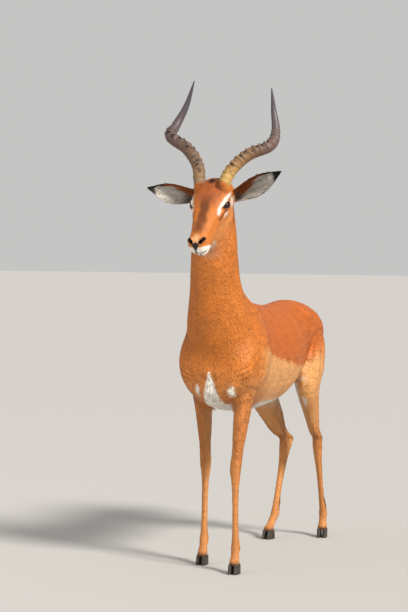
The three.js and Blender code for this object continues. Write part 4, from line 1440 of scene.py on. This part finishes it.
def hairSizes(points, normals, label, colour):
    # length, width, lift and how thickly the tufts stand, for every place on the skin; the lift is
    # in degrees till the end
    up, f = points[:, 2], toFace(points)
    long = np.full(len(points), hairLength["body"])
    lift = np.full(len(points), hairLift["body"])
    thick = np.ones(len(points))
    whiteness = ramp(colour.min(1), 0.30, 0.60)
    long += 0.004 * whiteness * (label == "trunk")
    long[np.char.find(label, "leg_upper") >= 0] = hairLength["upperLeg"]
    lower = np.char.find(label, "leg_lower") >= 0
    long[lower] = hairLength["lowerLeg"]
    long = np.where(lower, long + 0.004 * (1 - ramp(up, 0.034, 0.055)), long)
    onHead = np.isin(label, headParts)
    faceMore = 0.0035 * (1 - ramp(f[:, 0], 0.05, 0.20)) + 0.003 * ramp(-f[:, 2], 0.06, 0.11)
    long = np.where(onHead, hairLength["face"] + faceMore, long)
    thick *= 1 - ramp(skinNaked, 0.02, 0.2) * onHead
    for side in signOf:
        gap, _, far, way = lidGap(points, side)
        nearLid = (far < 0.034) * (way @ eyeFrame(side)[0] > 0) * (1 - ramp(gap, 0.004, 0.011))
        long *= 1 - 0.5 * nearLid
    crown = onHead * spot(f, *crownTuft)
    long += 0.006 * crown
    lift += 22 * crown
    throat = onHead * ramp(f[:, 0], 0.06, 0.10) * ramp(-f[:, 2], 0.098, 0.115)
    long += 0.005 * throat
    lift += 8 * throat
    for side in signOf:
        _, high, hollow = onEarAxes(points, normals, side)
        here = label == "ear_" + side
        inner = ramp(hollow, 0, 0.004)
        edge = ramp(np.abs(high) / earBreadth, 0.4, 1.0)
        long = np.where(here, hairLength["ear"] + inner * (0.004 + 0.003 * edge), long)
        lift = np.where(here, hairLift["ear"] + inner * 13, lift)
    onTail = label == "tail"
    long = np.where(onTail, hairLength["tail"] * (2 - ramp(up, 0.60, 0.80)), long)
    lift = np.where(onTail, hairLift["tail"], lift)
    gland = lower & np.char.startswith(label, "hind") & (colour.max(1) < 0.03) & (up > 0.09)
    long = np.where(gland, hairLength["gland"], long)
    lift = np.where(gland, hairLift["gland"], lift)
    long = relax(long, skinLinks, 0.5, 6)
    lift = relax(lift, skinLinks, 0.5, 6)
    wide = np.clip(long * coatPlan["widthOfLength"], *coatPlan["width"])
    return long, wide, np.radians(lift), thick


def hairLean(points, normals, lie, long):
    # how far a tuft has to turn for its tip to come down on the skin again
    tree = BVHTree.FromPolygons(points.tolist(), [tuple(face.vertices) for face in skin.data.polygons])
    tips = points + lie * long[:, None]
    found = [tree.find_nearest(tip) for tip in tips.tolist()]
    reached = np.array([hit[0] for hit in found])
    facing = rowDot(np.array([hit[1] for hit in found]), normals)
    lean = np.arctan2(rowDot(reached - tips, normals), long)
    flush = ramp(facing, 0.2, 0.6)
    lean = relax(np.clip(lean, -0.30, 0.30) * flush, skinLinks, 0.5, 4)
    # shorter where the skin turns away under the tuft
    return lean, long * np.where(skinLabel == "tail", 1, 0.5 + 0.5 * relax(flush, skinLinks, 0.5, 3))


def unrolled(points, axis, left=0.0, right=1.0):
    # rolls a part of the skin out flat: share along its axis and turn about its middle line
    axis = unit(axis)
    along = points @ axis
    low, high = along.min(), along.max()
    share = (along - low) / (high - low)
    bins = np.minimum((share * 24).astype(int), 23)
    count = np.bincount(bins, minlength=24).clip(1)
    middle = np.stack([np.bincount(bins, points[:, k], 24) / count for k in range(3)], 1)
    centre = np.stack([np.interp(share * 24 - 0.5, np.arange(24), middle[:, k]) for k in range(3)], 1)
    side = unit(np.cross(axis, (0.13, 0.21, 0.97) if abs(axis[2]) < 0.8 else (0.1, 1, 0.1)))
    other = np.cross(axis, side)
    away = points - centre
    turn = np.arctan2(away @ other, away @ side) / (2 * math.pi) + 0.5
    sideways = left + (right - left) * (0.02 + 0.95 * turn)
    return np.stack([sideways, 0.01 + 0.97 * share, np.zeros(len(points))], 1)


def rolledOut(points, label, piece):
    if piece == "coatHead":
        return unrolled(points, alongAxis)
    if piece in ("coatNeck", "coatTail"):
        return unrolled(points, (0, 0, -1))
    if piece in trunkThirds:
        return unrolled(points, (0, 1, 0))
    place = np.zeros_like(points)
    for side, left in (("left", 0), ("right", 0.5)):
        here = np.char.endswith(label, side)
        axis = (signOf[side], -0.2, 0.15) if piece == "coatEars" else (0, 0, -1)
        place[here] = unrolled(points[here], axis, left, left + 0.5)
    return place


def tuftShape():
    # one tuft: a flat, three-sided blade a unit long, arched and pointed
    points = [(-0.32, 0, -0.7), (0.32, 0, -0.7), (0, 0, -0.2), (-0.5, 0.5, -0.15), (0.5, 0.5, -0.15),
              (0, 0.52, 0.4), (0, 1, -0.8)]
    faces = [(0, 1, 2), (0, 3, 4, 1), (1, 4, 5, 2), (2, 5, 3, 0), (3, 6, 4), (4, 6, 5), (5, 6, 3)]
    mesh = bpy.data.meshes.new("tuft")
    mesh.from_pydata(points, [], faces)
    smoothShaded(mesh)
    addAttribute(mesh, "reach", "FLOAT", [p[1] for p in points])
    addAttribute(mesh, "side", "FLOAT", [p[0] * 2 for p in points])
    return newObject("tuft", mesh)


def tuftTree():
    tree, given, names = newTree("tufts", {
        "Tuft": ("Object", None), "Spacing": ("Float", 0.004), "Most": ("Float", 100000.0),
        "Spread": ("Float", 0.13), "Unevenness": ("Float", 0.28), "Patch": ("Float", coatPlan["patch"]),
        "Seed": ("Int", 1), "Material": ("Material", None)})
    inputs = {"Mesh": given["Geometry"], "Distance Min": given["Spacing"], "Density Max": given["Most"],
              "Density Factor": named(tree, "thick"), "Seed": given["Seed"]}
    scatter = addNode(tree, "GeometryNodeDistributePointsOnFaces", inputs, distribute_method="POISSON")
    normal = scatter.outputs["Normal"]
    axes = {"Primary Axis": normal, "Secondary Axis": named(tree, "lie", "FLOAT_VECTOR")}
    stand = addNode(tree, "FunctionNodeAxesToRotation", axes, primary_axis="Z", secondary_axis="Y").outputs[0]

    def chance(low, high, seed):
        inputs = {2: low, 3: high, "Seed": seed}
        return addNode(tree, "FunctionNodeRandomValue", inputs, data_type="FLOAT").outputs[1]

    # each is turned a little on its root, raised by its lift and leant down to the skin again
    spread = times(tree, chance(-1.0, 1.0, 11), given["Spread"])
    rise = calc(tree, "MULTIPLY_ADD", named(tree, "lift"), chance(0.45, 1.55, 12), named(tree, "lean"))
    turn = joined(tree, rise, chance(-coatPlan["roll"], coatPlan["roll"], 13), spread)
    turned = addNode(tree, "FunctionNodeRotateRotation", {0: stand, 1: turn}, rotation_space="LOCAL")
    vary = calc(tree, "MULTIPLY_ADD", chance(-1.0, 1.0, 14), given["Unevenness"], 1.0)
    wide, long = named(tree, "wide"), named(tree, "long")
    thick = times(tree, wide, coatPlan["thicknessOfWidth"])
    size = joined(tree, times(tree, wide, vary), times(tree, long, vary), thick)
    tuft = addNode(tree, "GeometryNodeObjectInfo", {"Object": given["Tuft"]}).outputs["Geometry"]
    rooted = store(tree, scatter.outputs["Points"], "flat", normal, "FLOAT_VECTOR")
    tufts = addNode(tree, "GeometryNodeInstanceOnPoints", {
        "Points": rooted, "Instance": tuft, "Rotation": turned.outputs[0], "Scale": size}).outputs[0]
    tufts = store(tree, tufts, "tone", chance(0.0, 1.0, 15), domain="INSTANCE")
    tufts = addNode(tree, "GeometryNodeRealizeInstances", {"Geometry": tufts}).outputs[0]
    # the map has a small patch for every tuft, at its root's place on the skin rolled out flat
    own = joined(tree, calc(tree, "MULTIPLY_ADD", named(tree, "side"), 0.5, 0.5), named(tree, "reach"))
    inputs = {0: scaled(tree, own, given["Patch"]), 1: named(tree, "patch", "FLOAT_VECTOR")}
    place = addNode(tree, "ShaderNodeVectorMath", inputs).outputs[0]
    endTree(tree, store(tree, tufts, "OFBake", place, "FLOAT2", "CORNER"), given["Material"])
    return tree, names


def furMaterial():
    # each tuft has its own tone, is darker at its root and is streaked along its length
    material, tree, surface = newMaterial("fur")
    tone, reach, side = (stored(tree, name) for name in ("tone", "reach", "side"))
    strand = joined(tree, times(tree, side, 2.6), times(tree, reach, 0.7), times(tree, tone, 60.0))
    hairs = noise(tree, strand, 1.6, 3, 0.7)
    own = remap(tree, tone, to=(0.93, 1.07))
    root = remap(tree, reach, 0.0, 0.6, (0.92, 1.02))
    streak = remap(tree, hairs, 0.3, 0.7, (0.90, 1.08))
    colour = scaled(tree, stored(tree, "coat", "Color"), times(tree, own, root, streak))
    # the hair is lit much as the hide beneath it is, so that it looks sleek
    ownNormal = addNode(tree, "ShaderNodeNewGeometry").outputs["Normal"]
    inputs = {0: 0.70, 4: ownNormal, 5: stored(tree, "flat", "Vector")}
    sleek = addNode(tree, "ShaderNodeMix", inputs, data_type="VECTOR").outputs[1]
    sleek = addNode(tree, "ShaderNodeVectorMath", {0: sleek}, operation="NORMALIZE").outputs[0]
    setInputs(tree, surface, {"Base Color": colour, "Roughness": 0.48, "Specular IOR Level": 0.34,
                              "Normal": bumped(tree, hairs, 0.35, 0.0006, Normal=sleek)})
    return material


def partOfSkin(mask, fields):
    # the faces of the skin where the mask holds, with what the tufts read, and the area they fill
    starts, totals, corners = faceCorners(skin.data)
    kept = np.flatnonzero(mask[corners[starts]])
    starts, totals = starts[kept], totals[kept]
    fourths = corners[(starts + 3)[totals > 3]]
    used = np.unique(np.concatenate([corners[starts + k] for k in range(3)] + [fourths]))
    order = np.full(len(mask), -1)
    order[used] = np.arange(len(used))
    faces = [order[corners[s:s + t]].tolist() for s, t in zip(starts.tolist(), totals.tolist())]
    part = bpy.data.meshes.new("skinPart")
    part.from_pydata(skinPoints[used].tolist(), [], faces)
    for name, (kind, values) in fields.items():
        addAttribute(part, name, kind, values[used])
    triangles = corners[starts[:, None] + np.arange(3)]
    area = 0.5 * np.linalg.norm(faceNormals(skinPoints, triangles), axis=1)
    area = (area * np.where(totals > 3, 2, 1) * fields["thick"][1][corners[starts]]).sum()
    return newObject("skinPart", part), area


def makeCoat():
    lie = hairLie(skinPoints, skinNormals, skinLabel)
    long, wide, lift, thick = hairSizes(skinPoints, skinNormals, skinLabel, skinColour)
    lean, long = hairLean(skinPoints, skinNormals, lie, long)
    tree, names = tuftTree()
    tuft = tuftShape()
    material = furMaterial()
    patch = np.zeros_like(skinPoints)
    fields = {"lie": ("FLOAT_VECTOR", lie), "long": ("FLOAT", long), "wide": ("FLOAT", wide),
              "lift": ("FLOAT", lift), "lean": ("FLOAT", lean), "thick": ("FLOAT", thick),
              "patch": ("FLOAT_VECTOR", patch), "coat": ("FLOAT_COLOR", skinPaint)}
    for number, (piece, (parts, tuftShare)) in enumerate(coatPieces.items()):
        mask = np.zeros(len(skinLabel), bool)
        for part in parts:
            mask |= np.char.startswith(skinLabel, part)
        if piece in trunkThirds:
            first, last = np.quantile(skinPoints[mask, 1], trunkThirds[piece])
            mask &= (skinPoints[:, 1] >= first) & (skinPoints[:, 1] < last)
        patch[mask] = rolledOut(skinPoints[mask], skinLabel[mask], piece)
        part, area = partOfSkin(mask, fields)
        # the least spacing that lets about this many tufts find room
        tufts = coatPlan["tufts"] * tuftShare
        spacing = math.sqrt(0.70 * area / tufts)
        values = {"Tuft": tuft, "Spacing": spacing, "Most": 6 * tufts / area, "Patch": coatPlan["patch"],
                  "Seed": coatPlan["seed"] + number, "Material": material}
        coat = runTree(part, tree, names, values, piece)
        layers = coat.data.attributes
        for name in fields:
            if name != "coat" and name in layers:
                layers.remove(layers[name])
        finished(coat, "coat")
        print(piece, "area", round(area, 3), "spacing", round(spacing, 5), "faces", len(coat.data.polygons),
              "triangles", sum(len(p.vertices) - 2 for p in coat.data.polygons))
    bpy.data.objects.remove(tuft)


makeCoat()
print("coat made")
